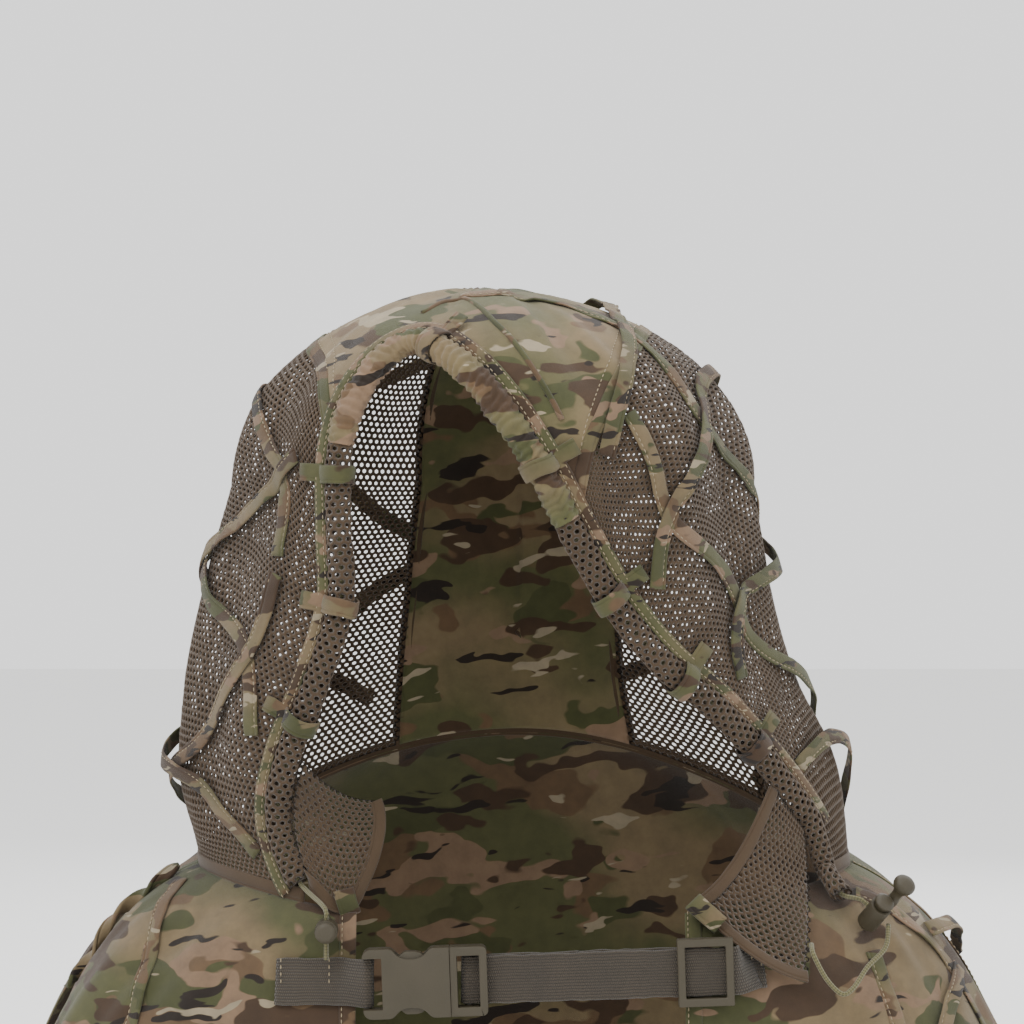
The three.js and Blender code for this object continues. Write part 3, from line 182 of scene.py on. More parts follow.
def unit(vectors):
    return vectors / np.maximum(np.linalg.norm(vectors, axis=-1, keepdims=True), 1e-9)


def noise(points, seed):
    """Smooth noise from -1 to 1 at points of three coordinates, one cell to a unit."""
    base = np.floor(points).astype(np.int64)
    part = points - base
    part = part * part * (3 - 2 * part)
    total = np.zeros(len(points))
    for corner in range(8):
        step = np.array([corner & 1, corner >> 1 & 1, corner >> 2 & 1])
        q = base + step
        mixed = q[:, 0] * 73856093 ^ q[:, 1] * 19349663 ^ q[:, 2] * 83492791 ^ seed * 40503
        mixed = (mixed ^ mixed >> 13) * 1274126177 & 0xFFFFFFFF
        value = ((mixed ^ mixed >> 16) & 0xFFFF) / 32767.5 - 1
        total += value * np.prod(np.where(step == 1, part, 1 - part), axis=1)
    return total


def around(turn, front, side, back):
    ahead = np.cos(np.radians(turn))
    return lerp(side, np.where(ahead > 0, front, back), ahead * ahead)


def curve_through(points):
    """A centripetal curve through points, read at shares of its span count."""
    p = np.array(points, float)
    if p.shape[1] == 2:
        p = np.hstack([p, np.zeros((len(p), 1))])
        flat = True
    else:
        flat = False
    p = np.vstack([2 * p[0] - p[1], p, 2 * p[-1] - p[-2]])
    spans = len(p) - 3

    def at(t):
        t = np.atleast_1d(np.asarray(t, float))
        place = np.clip(t, 0, 1) * spans
        k = np.minimum(place.astype(int), spans - 1)
        w = (place - k)[:, None]
        p0, p1, p2, p3 = p[k], p[k + 1], p[k + 2], p[k + 3]
        gap = [np.maximum(np.linalg.norm(b - a, axis=1) ** 0.5, 1e-6)[:, None]
               for a, b in ((p0, p1), (p1, p2), (p2, p3))]
        m1 = ((p1 - p0) / gap[0] - (p2 - p0) / (gap[0] + gap[1]) + (p2 - p1) / gap[1]) * gap[1]
        m2 = ((p2 - p1) / gap[1] - (p3 - p1) / (gap[1] + gap[2]) + (p3 - p2) / gap[2]) * gap[1]
        c2 = -3 * p1 + 3 * p2 - 2 * m1 - m2
        c3 = 2 * p1 - 2 * p2 + m1 + m2
        out = p1 + m1 * w + c2 * w ** 2 + c3 * w ** 3
        return out[:, :2] if flat else out
    return at


def even_steps(points, step):
    """The same polyline with points an even step apart."""
    points = np.asarray(points, float)
    length = np.concatenate([[0], np.cumsum(np.linalg.norm(np.diff(points, axis=0), axis=1))])
    count = max(2, int(round(length[-1] / step)))
    at = np.linspace(0, length[-1], count + 1)
    return np.stack([np.interp(at, length, points[:, k]) for k in range(points.shape[1])], 1)


# ---- The hood's surface -------------------------------------------------------------------------
def wall_row(share):
    rows = WALL_ROWS
    k = np.clip(np.searchsorted(rows[:, 0], share, "left") - 1, 0, len(rows) - 2)
    a, b = rows[k], rows[k + 1]
    before, after = rows[np.maximum(k - 1, 0)], rows[np.minimum(k + 2, len(rows) - 1)]
    span = b[:, 0] - a[:, 0]
    t = np.clip((share - a[:, 0]) / span, 0, 1)[:, None]
    slope_a = (b - before) / (b[:, 0] - before[:, 0])[:, None] * span[:, None]
    slope_b = (after - a) / (after[:, 0] - a[:, 0])[:, None] * span[:, None]
    return ((2 * t ** 3 - 3 * t ** 2 + 1) * a + (t ** 3 - 2 * t ** 2 + t) * slope_a
            + (3 * t ** 2 - 2 * t ** 3) * b + (t ** 3 - t ** 2) * slope_b)[:, 1:]


def hood_point(turn, reach):
    in_crown = reach < CROWN_REACH
    roll = np.where(in_crown, reach / CROWN_REACH, 1.0) * math.pi / 2
    rise, cap = np.cos(roll), np.sin(roll)
    drop = (reach - CROWN_REACH) / (1 - CROWN_REACH)
    z = np.where(in_crown, CROWN_START + (HOOD_TOP - CROWN_START) * rise,
                 lerp(CROWN_START, around(turn, NECK_FRONT, NECK_SIDE, NECK_BACK), drop))
    row = wall_row(np.where(in_crown, 0.66, z / CROWN_START * 0.66))
    sine, cosine = np.sin(np.radians(turn)), np.cos(np.radians(turn))
    width = np.where(sine < 0, row[:, 0] * HOOD_LEFT, row[:, 1] * HOOD_RIGHT)
    depth = np.where(cosine > 0, row[:, 2] * HOOD_FRONT * (1 + 0.45 * rise ** 2 * in_crown),
                     row[:, 3] * HOOD_BACK)
    return np.stack([CROWN_SHIFT * (1 - cap) + width * cap * sine, -depth * cap * cosine, z], 1)


def reach_at(turn, share):
    z = np.asarray(share, float) * HOOD_TOP
    over = np.clip((z - CROWN_START) / (HOOD_TOP - CROWN_START), 0, 1)
    wall = (CROWN_START - z) / (CROWN_START - around(turn, NECK_FRONT, NECK_SIDE, NECK_BACK))
    return np.where(z > CROWN_START, np.arccos(over) / (math.pi / 2) * CROWN_REACH,
                    CROWN_REACH + wall * (1 - CROWN_REACH))


def to_plane(turn, reach):
    turn, reach = np.broadcast_arrays(np.asarray(turn, float), np.asarray(reach, float))
    return np.stack([reach * np.sin(np.radians(turn)), -reach * np.cos(np.radians(turn))], -1)


def from_plane(flat):
    return np.degrees(np.arctan2(flat[:, 0], -flat[:, 1])), np.hypot(flat[:, 0], flat[:, 1])


def hood_at(flat):
    return hood_point(*from_plane(flat))


def surface_normal(at, flat, step):
    along_a = at(flat + [step, 0]) - at(flat - [step, 0])
    along_b = at(flat + [0, step]) - at(flat - [0, step])
    normal = unit(np.cross(along_b, along_a))
    inward = np.sum(normal * (at(flat) - HOOD_MIDDLE), axis=1) < 0
    return np.where(inward[:, None], -normal, normal)


def hood_normal(flat):
    return surface_normal(hood_at, flat, 0.004)


def hood_flat(route):
    route = np.atleast_2d(np.asarray(route, float))
    return to_plane(route[:, 0], reach_at(route[:, 0], route[:, 1]))


EDGE_LINE = curve_through(hood_at(hood_flat(EDGE)))(np.linspace(0, 1, 3000))
EDGE_LENGTH = np.concatenate(
    [[0], np.cumsum(np.linalg.norm(np.diff(EDGE_LINE, axis=0), axis=1))])


def edge_at(t):
    place = np.asarray(t, float) * EDGE_LENGTH[-1]
    return np.stack([np.interp(place, EDGE_LENGTH, EDGE_LINE[:, k]) for k in range(3)], -1)


def hood_flat_of(points):
    """The plane coordinates of points near the hood's surface."""
    share = np.minimum(points[:, 2] / HOOD_TOP, 0.999)
    flat = hood_flat(np.stack(
        [np.degrees(np.arctan2(points[:, 0], -points[:, 1])), share], 1))
    for _ in range(14):
        step = 0.002
        here = hood_at(flat)
        along_a = (hood_at(flat + [step, 0]) - here) / step
        along_b = (hood_at(flat + [0, step]) - here) / step
        miss = points - here
        aa, ab, bb = (np.sum(x * y, 1) for x, y in
                      ((along_a, along_a), (along_a, along_b), (along_b, along_b)))
        ma, mb = np.sum(miss * along_a, 1), np.sum(miss * along_b, 1)
        scale = aa * bb - ab * ab
        flat = flat + np.stack([(ma * bb - mb * ab) / scale, (mb * aa - ma * ab) / scale], 1)
    return flat


def beside_edge(t, distance):
    """Plane coordinates beside the face opening's edge, away from the opening."""
    t = np.atleast_1d(np.asarray(t, float))
    here = edge_at(t)
    tangent = unit(edge_at(np.minimum(t + 0.002, 1)) - edge_at(np.maximum(t - 0.002, 0)))
    side = unit(np.cross(hood_normal(hood_flat_of(here)), tangent))
    return hood_flat_of(here + side * distance)


def hood_drape(flat, at):
    """How far the cloth stands in or out of the plain hood, as soft folds and small creases."""
    turn, reach = from_plane(flat)
    share = at[:, 2] / HOOD_TOP
    near = np.min(np.linalg.norm(
        at[:, None, :] - EDGE_LINE[None, ::30, :], axis=2), axis=1)
    free = smooth_step(14, 60, near) * smooth_step(0, 0.16, 1 - reach)
    wave = np.sin(np.radians(turn) * 8.5 + 3.2 * share + 0.8 * np.sin(5 * share))
    soft = noise(np.stack([turn / 17, share * 4.2, share * 0], 1), 3)
    crease = noise(np.stack([turn / 6 + share * 3, share * 9, share * 0], 1), 7)
    walls = smooth_step(0.98, 0.8, share)
    return free * (walls * (HOOD_WAVE * wave + HOOD_SOFT * soft) + CREASE * crease)


def chunks(work, flat):
    """Runs a surface function over many points a part at a time, to keep memory small."""
    return np.concatenate([work(part) for part in np.array_split(flat, len(flat) // 8000 + 1)])


def hood_place(flat, stand=0.0):
    """Points and normals on the draped hood."""
    at = hood_at(flat)
    normal = hood_normal(flat)
    drape = chunks(lambda part: hood_drape(part[:, :2], part[:, 2:]), np.hstack([flat, at]))
    return at + normal * (drape + stand)[:, None], normal


# ---- The cape's surface -------------------------------------------------------------------------
def boxy(value, power):
    return np.sign(value) * np.abs(value) ** power


def cape_at(flat):
    turn, fall = flat[:, 0] * 90, flat[:, 1][:, None]
    neck = hood_point(turn, np.ones(len(turn)))
    sine = boxy(np.sin(np.radians(turn)), 0.8)
    cosine = boxy(np.cos(np.radians(turn)), 0.7)
    shoulder = np.stack([
        CAPE_SHOULDER * sine, -np.where(cosine > 0, CAPE_FRONT, CAPE_BACK) * cosine,
        around(turn, NECK_FRONT - 32, NECK_SIDE - 35, NECK_BACK - 45)], 1)
    hem = np.stack([
        CAPE_HEM_WIDTH * sine, -np.where(cosine > 0, CAPE_FRONT + 14, CAPE_BACK - 2) * cosine,
        around(turn, HEM_FRONT, HEM_SIDE, HEM_BACK)], 1)
    return neck * (1 - fall) ** 2 + shoulder * 2 * (1 - fall) * fall + hem * fall ** 2


def cape_normal(flat):
    along_turn = cape_at(flat + [0.005, 0]) - cape_at(flat - [0.005, 0])
    along_fall = cape_at(flat + [0, 0.005]) - cape_at(flat - [0, 0.005])
    return unit(np.cross(along_fall, along_turn))


def cape_drape(flat, at):
    turn, fall = flat[:, 0] * 90, flat[:, 1]
    strap_part = (1 - smooth_step(140, 175, np.abs(at[:, 0]))) * (at[:, 1] < 0)
    free = smooth_step(0.02, 0.35, fall) * (1 - 0.85 * strap_part)
    folds = noise(np.stack([turn / 11, fall * 1.6, fall * 0], 1), 11)
    crease = noise(np.stack([turn / 4 + fall * 2, fall * 7, fall * 0], 1), 17)
    return free * (CAPE_FOLD * folds + CREASE * crease)


def cape_place(flat, stand=0.0):
    at = cape_at(flat)
    normal = cape_normal(flat)
    return at + normal * (cape_drape(flat, at) + stand)[:, None], normal


def on_cape(turn, fall, stand):
    flat = np.array([[turn / 90, fall]])
    return (cape_at(flat) + cape_normal(flat) * stand)[0]


def front_turn(x, fall):
    fall = np.atleast_1d(np.asarray(fall, float))
    low, high = np.zeros(len(fall)), np.ones(len(fall))
    sign = math.copysign(1, x)
    for _ in range(30):
        middle = (low + high) / 2
        inside = np.abs(cape_at(np.stack([sign * middle, fall], 1))[:, 0]) < abs(x)
        low, high = np.where(inside, middle, low), np.where(inside, high, middle)
    return sign * low


# ---- Panels laid out on the hood ----------------------------------------------------------------
def patch(top, bottom, left, right):
    """A place inside four boundary curves, blended between them."""
    def at(u, v):
        one = np.ones(1)
        a, b = u[:, None], v[:, None]
        corners = lerp(lerp(top(0 * one), top(one), a), lerp(bottom(0 * one), bottom(one), a), b)
        return lerp(top(u), bottom(u), b) + lerp(left(v), right(v), a) - corners
    return at


def part_of(curve, start, end):
    return lambda t: curve(lerp(start, end, t))


BAND_T = np.linspace(0, 1, 600)
BAND = beside_edge(BAND_T, PANEL_START)


def edge_band(t):
    return np.stack([np.interp(t, BAND_T, BAND[:, k]) for k in range(2)], 1)


crown_seam = curve_through(
    [edge_band([BRIM_TO])[0], *hood_flat(CROWN_SEAM), edge_band([BRIM_FROM])[0]])
SEAM_T = np.linspace(0.02, 0.98, 3000)
SEAM_TURNS = (from_plane(crown_seam(SEAM_T))[0] + 360) % 360


def crown_seam_at(turn):
    return float(np.interp(turn, SEAM_TURNS, SEAM_T))


def crown_flat():
    right, left = crown_seam_at(CROWN_CORNER), crown_seam_at(360 - CROWN_CORNER)
    return patch(part_of(edge_band, BRIM_FROM, BRIM_TO), part_of(crown_seam, left, right),
                 part_of(crown_seam, 1, left), part_of(crown_seam, 0, right))


def wall_flat(from_turn, to_turn):
    top = part_of(crown_seam, crown_seam_at(from_turn), crown_seam_at(to_turn))

    def at(u, v):
        return to_plane(lerp(from_turn, to_turn, u), lerp(from_plane(top(u))[1], RIM, v))
    return at


def side_flat(edge_start, edge_end, from_seam, seam_turn):
    edge = part_of(edge_band, edge_start, edge_end)
    top = part_of(crown_seam, from_seam, crown_seam_at(seam_turn))
    foot = float(from_plane(edge(np.ones(1)))[0][0])
    foot = foot + 360 if foot < 0 else foot
    top_reach = float(from_plane(top(np.ones(1)))[1][0])

    last_reach = min(float(from_plane(edge(np.ones(1)))[1][0]), RIM)

    def front(v):
        turn, reach = from_plane(edge(v))
        down = (RIM - last_reach) * smooth_step(0.8, 1, v)
        return to_plane(turn, np.minimum(reach + down, RIM))
    return patch(top, lambda u: to_plane(lerp(foot, seam_turn, u), RIM), front,
                 lambda v: to_plane(seam_turn, lerp(top_reach, RIM, v)))


# ---- Meshes -------------------------------------------------------------------------------------
def mesh_object(name, points, faces, uv=None):
    """A mesh object from millimetre points, faces as index rows, and uv values for each point."""
    mesh = bpy.data.meshes.new(name)
    faces = [list(map(int, row)) for row in faces]
    mesh.from_pydata((np.asarray(points, float) * MM).tolist(), [], faces)
    mesh.update()
    if uv is not None:
        layer = mesh.uv_layers.new(name="UVMap")
        loops = np.zeros(len(mesh.loops), np.int32)
        mesh.loops.foreach_get("vertex_index", loops)
        layer.data.foreach_set("uv", np.asarray(uv, np.float32)[loops].ravel())
    mesh.polygons.foreach_set("use_smooth", [True] * len(mesh.polygons))
    obj = bpy.data.objects.new(name, mesh)
    bpy.context.scene.collection.objects.link(obj)
    return obj


def signed_volume(points, faces):
    total = 0.0
    faces = np.asarray(faces)
    for k in range(1, faces.shape[1] - 1):
        a, b, c = points[faces[:, 0]], points[faces[:, k]], points[faces[:, k + 1]]
        total += float(np.sum(a * np.cross(b, c)))
    return total


def grid_uv(place):
    """Average width and height in millimetres of a mapped unit square."""
    u, v = (a.ravel() for a in np.meshgrid(np.linspace(0, 1, 13), np.linspace(0, 1, 13)))
    at = place(u, v)[0].reshape(13, 13, 3)
    width = np.mean(np.sum(np.linalg.norm(np.diff(at, axis=1), axis=2), axis=1))
    height = np.mean(np.sum(np.linalg.norm(np.diff(at, axis=0), axis=2), axis=0))
    return width, height


def knit(name, place, pitch, strand, seed, wrap=False, hole=CHANNEL_HOLE):
    """Knitted mesh cloth: six-sided holes between rounded strands.

    The rim has no thickness, so both faces of a cell edge on it share four corners.
    """
    width, height = grid_uv(place)
    columns = max(2, int(round(width / pitch)))
    rows = max(2, int(round(height / (pitch * 0.82))))
    across = 2 * columns if wrap else 2 * columns + 1
    i, j = np.meshgrid(np.arange(across), np.arange(rows + 1))
    zig = np.where((i + j) % 2 == 1, -0.17, 0.17)
    zig[0] = zig[-1] = 0
    at, normal = place((i / (2 * columns)).ravel(), ((j + zig) / rows).ravel())
    rng = np.random.default_rng(seed)
    at = at + normal * rng.normal(0, 0.07, len(at))[:, None]
    cell_j, cell_c = (a.ravel() for a in np.meshgrid(np.arange(rows), np.arange(columns)))
    first = 2 * cell_c + cell_j % 2
    keep = np.ones(len(first), bool) if wrap else first + 2 <= 2 * columns
    first, cell_j = first[keep], cell_j[keep]
    ring = [(0, 0), (1, 0), (2, 0), (2, 1), (1, 1), (0, 1)]
    corner = np.stack([(cell_j + dj) * across + (first + di) % across for di, dj in ring], 1)
    edges = np.sort(np.concatenate(
        [corner[:, [k, (k + 1) % 6]] for k in range(6)]), axis=1)
    known, count = np.unique(edges, axis=0, return_counts=True)
    rim = np.zeros(len(at), bool)
    rim[known[count == 1].ravel()] = True
    bulge = np.where(rim, 0.0, strand)[:, None]
    middle = at[corner].mean(axis=1)
    size = hole * rng.uniform(0.9, 1.08, (len(middle), 1, 1))
    holes = (middle[:, None, :] + (at[corner] - middle[:, None, :]) * size).reshape(-1, 3)
    used = np.zeros(len(at), bool)
    used[corner.ravel()] = True
    low_index = np.where(rim, np.arange(len(at)), np.arange(len(at)) + len(at))
    hole_index = np.arange(len(holes)).reshape(-1, 6) + 2 * len(at)
    faces = []
    for k in range(6):
        n = (k + 1) % 6
        top = np.stack([corner[:, k], corner[:, n], hole_index[:, n], hole_index[:, k]], 1)
        low = np.stack([low_index[corner[:, k]], hole_index[:, k], hole_index[:, n],
                        low_index[corner[:, n]]], 1)
        faces += [top, low]
    points = np.concatenate([at + normal * bulge, at - normal * bulge, holes])
    faces = np.concatenate(faces)
    kept = np.concatenate([used, used & ~rim, np.ones(len(holes), bool)])
    renumber = np.cumsum(kept) - 1
    points, faces = points[kept], renumber[faces]
    if signed_volume(points, faces) < 0:
        faces = faces[:, ::-1]
    return mesh_object(name, points, faces), (width, height)


def cloth(name, place, step, thickness):
    """Plain cloth as a thin closed shell over a mapped unit square."""
    width, height = grid_uv(place)
    across, down = (max(4, int(round(side / step))) for side in (width, height))
    i, j = np.meshgrid(np.arange(across + 1), np.arange(down + 1))
    at, normal = place((i / across).ravel(), (j / down).ravel())
    layer = len(at)
    edge = ((i == 0) | (i == across) | (j == 0) | (j == down)).ravel()[:, None]
    half = np.where(edge, thickness * 0.35, thickness / 2)
    points = np.concatenate([at + normal * half, at - normal * half])
    index = np.arange(layer).reshape(down + 1, across + 1)
    quads = np.stack([index[:-1, :-1], index[:-1, 1:], index[1:, 1:], index[1:, :-1]],
                     -1).reshape(-1, 4)
    faces = [quads, quads[:, ::-1] + layer]
    for line in (index[0], index[:, -1], index[-1][::-1], index[:, 0][::-1]):
        faces.append(np.stack([line[1:], line[:-1], line[:-1] + layer, line[1:] + layer], 1))
    faces = np.concatenate(faces)
    if signed_volume(points, faces) < 0:
        faces = faces[:, ::-1]
    uv = np.stack([(i / across).ravel() * width, (j / down).ravel() * height], 1) * MM
    return mesh_object(name, points, faces, np.concatenate([uv, uv])), (width, height)


# Garnish tape's section: place across as a share of half the width, and top height as a share.
TAPE_SECTION = [(-1.0, 0.45), (-0.95, 0.85), (-0.7, 1.0), (-0.25, 1.08), (0.2, 1.05),
                (0.5, 0.95), (0.6, 0.62), (0.7, 0.92), (0.93, 0.9), (1.0, 0.45)]
TUBE_END = 0.35  # how far a tube's end closes in
WEB_SECTION = [(-1.0, 0.5), (-0.97, 0.95), (-0.9, 1.05), (-0.8, 0.95), (-0.4, 1.0), (0.0, 1.0),
               (0.4, 1.0), (0.8, 0.95), (0.9, 1.05), (0.97, 0.95), (1.0, 0.5)]


def path_frames(points, normals):
    along = unit(np.gradient(points, axis=0))
    side = unit(np.cross(along, normals))
    return along, side, np.cross(side, along)


def travelled(points):
    """How far along a polyline each of its points is."""
    return np.concatenate([[0], np.cumsum(np.linalg.norm(np.diff(points, axis=0), axis=1))])


def swept_faces(points, count, size):
    """Faces of a closed shape with count rings of size points, facing out, with both ends shut."""
    k, m = (a.ravel() for a in np.meshgrid(np.arange(count - 1), np.arange(size), indexing="ij"))
    n = (m + 1) % size
    faces = np.stack([k * size + m, k * size + n, (k + 1) * size + n, (k + 1) * size + m], 1)
    caps = [list(range(size))[::-1], list(range(len(points) - size, len(points)))]
    if signed_volume(points, faces) < 0:
        faces, caps = faces[:, ::-1], [cap[::-1] for cap in caps]
    return faces.tolist() + caps


def ribbon(name, points, normals, width, thickness, section=TAPE_SECTION, twist=None,
           flutter=0.0, seed=0):
    """A strip with a rounded, slightly uneven section along points."""
    along, side, up = path_frames(points, normals)
    count = len(points)
    travel = travelled(points)
    turn = np.zeros(count) if twist is None else twist(travel)
    cells = np.stack([travel / 14, travel * 0 + seed, travel * 0], 1)
    ends = smooth_step(0, 8, travel) * smooth_step(0, 8, travel[-1] - travel)
    turn = turn + flutter * noise(cells, seed) * ends
    middle = points + side * (noise(cells * 0.8, seed + 5) * 4 * flutter * ends)[:, None]
    across = side * np.cos(turn)[:, None] + up * np.sin(turn)[:, None]
    rise = up * np.cos(turn)[:, None] - side * np.sin(turn)[:, None]
    narrow = 1 - 0.05 * np.abs(noise(cells * 1.7, seed + 9))
    loop = [(a, h) for a, h in section] + [(a, 0.0) for a, _ in section[::-1][1:-1]]
    rows, uvs = [], []
    for a, h in loop:
        puff = 1 + 0.12 * noise(cells * 2.3 + [0, a * 3, 0], seed + 2) * (h > 0)
        rows.append(middle + across * (a * width / 2 * narrow)[:, None]
                    + rise * (h * thickness * puff)[:, None])
        uvs.append(np.stack([a * width / 2 + travel * 0, travel], 1) * MM)
    size = len(loop)
    points = np.stack(rows, 1).reshape(-1, 3)
    uv = np.stack(uvs, 1).reshape(-1, 2)
    return mesh_object(name, points, swept_faces(points, count, size), uv)


def tube(name, points, up, radius_across, radius_up, sides, wrinkle=None):
    """A closed tube along points; wrinkle(travel, angle) adds to its radius."""
    along, side, rise = path_frames(points, up)
    travel = travelled(points)
    angles = np.arange(sides) / sides * 2 * math.pi
    s, a = np.meshgrid(travel, angles, indexing="ij")
    extra = np.zeros(s.shape) if wrinkle is None else wrinkle(s, a)
    rows = (points[:, None, :] + side[:, None, :] * ((radius_across + extra) * np.cos(a))[..., None]
            + rise[:, None, :] * ((radius_up + extra) * np.sin(a))[..., None])
    first = points[0] + (rows[0] - points[0]) * TUBE_END
    last = points[-1] + (rows[-1] - points[-1]) * TUBE_END
    rows = np.concatenate([first[None], rows, last[None]])
    s = np.concatenate([s[:1], s, s[-1:]])
    a = np.concatenate([a[:1], a, a[-1:]])
    grid = rows.reshape(-1, 3)
    uv = np.stack([a.ravel() / (2 * math.pi) * 2 * math.pi * radius_across, s.ravel()], 1) * MM
    return mesh_object(name, grid, swept_faces(grid, len(rows), sides), uv)


def rounded(node, name, width):
    """A CAD node's shape with its edges rounded, as a moulded piece has them."""
    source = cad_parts[node]
    mesh = source.data.copy()
    mesh.name = name
    obj = bpy.data.objects.new(name, mesh)
    bpy.context.scene.collection.objects.link(obj)
    work = bmesh.new()
    work.from_mesh(mesh)
    bmesh.ops.remove_doubles(work, verts=work.verts, dist=1e-6)
    bmesh.ops.dissolve_limit(work, angle_limit=math.radians(2), verts=work.verts,
                             edges=work.edges)
    work.to_mesh(mesh)
    work.free()
    bevel = obj.modifiers.new("Rounding", "BEVEL")
    bevel.width = width * MM
    bevel.segments = 2
    bevel.limit_method = "ANGLE"
    bevel.angle_limit = math.radians(32)
    bevel.use_clamp_overlap = True
    plain = bpy.data.meshes.new_from_object(
        obj.evaluated_get(bpy.context.evaluated_depsgraph_get()))
    obj.modifiers.clear()
    obj.data = plain
    plain.polygons.foreach_set("use_smooth", [True] * len(plain.polygons))
    plain.set_sharp_from_angle(angle=math.radians(40))
    plain.materials.clear()
    return obj


# ---- Materials ----------------------------------------------------------------------------------
def linear(colour):
    return tuple(c / 12.92 if c <= 0.04045 else ((c + 0.055) / 1.055) ** 2.4 for c in colour)


def rgb(*levels):
    return (*linear([level / 255 for level in levels]), 1.0)


class Nodes:
    """A short way to write a material's tree."""

    def __init__(self, name, roughness, sheen=0.0, specular=0.3):
        self.material = bpy.data.materials.new(name)
        self.material.use_nodes = True
        self.tree = self.material.node_tree
        self.shader = self.tree.nodes["Principled BSDF"]
        self.shader.inputs["Roughness"].default_value = roughness
        self.shader.inputs["Sheen Weight"].default_value = sheen
        self.shader.inputs["Sheen Roughness"].default_value = 0.6
        self.shader.inputs["Specular IOR Level"].default_value = specular

    def node(self, kind, inputs=None, **settings):
        new = self.tree.nodes.new(kind)
        for key, value in settings.items():
            setattr(new, key, value)
        for key, value in (inputs or {}).items():
            if isinstance(value, bpy.types.NodeSocket):
                self.tree.links.new(value, new.inputs[key])
            else:
                new.inputs[key].default_value = value
        return new

    def coordinates(self, kind, scale=(1, 1, 1), shift=(0, 0, 0), turn=(0, 0, 0)):
        source = self.node("ShaderNodeTexCoord").outputs[kind]
        return self.node("ShaderNodeMapping", {"Vector": source, "Scale": scale,
                                               "Location": shift, "Rotation": turn}).outputs[0]

    def noise(self, vector, scale, detail=2.0, roughness=0.5):
        return self.node("ShaderNodeTexNoise", {
            "Vector": vector, "Scale": scale, "Detail": detail,
            "Roughness": roughness}).outputs["Fac"]

    def math(self, operation, a, b=0.5):
        return self.node("ShaderNodeMath", {0: a, 1: b}, operation=operation).outputs[0]

    def ramp(self, value, low, high):
        return self.node("ShaderNodeMapRange", {
            "Value": value, "From Min": low, "From Max": high}).outputs[0]

    def mix(self, share, a, b):
        new = self.node("ShaderNodeMix", data_type="RGBA")
        for key, value in ((0, share), (6, a), (7, b)):
            if isinstance(value, bpy.types.NodeSocket):
                self.tree.links.new(value, new.inputs[key])
            else:
                new.inputs[key].default_value = value
        return new.outputs[2]

    def bump(self, height, strength, distance_mm):
        new = self.node("ShaderNodeBump", {"Height": height, "Strength": strength,
                                           "Distance": distance_mm * MM})
        self.tree.links.new(new.outputs[0], self.shader.inputs["Normal"])

    def colour(self, socket):
        self.tree.links.new(socket, self.shader.inputs["Base Color"])

    def rough(self, value):
        self.tree.links.new(value, self.shader.inputs["Roughness"])


def weave_height(paint, pitch_mm):
    """A plain weave: two crossing rows of threads."""
    vector = paint.coordinates("UV", (1 / (pitch_mm * MM),) * 3)
    parts = paint.node("ShaderNodeSeparateXYZ", {0: vector})
    waves = [paint.math("SINE", paint.math("MULTIPLY", parts.outputs[k], 2 * math.pi))
             for k in (0, 1)]
    return paint.math("MULTIPLY", waves[0], waves[1])


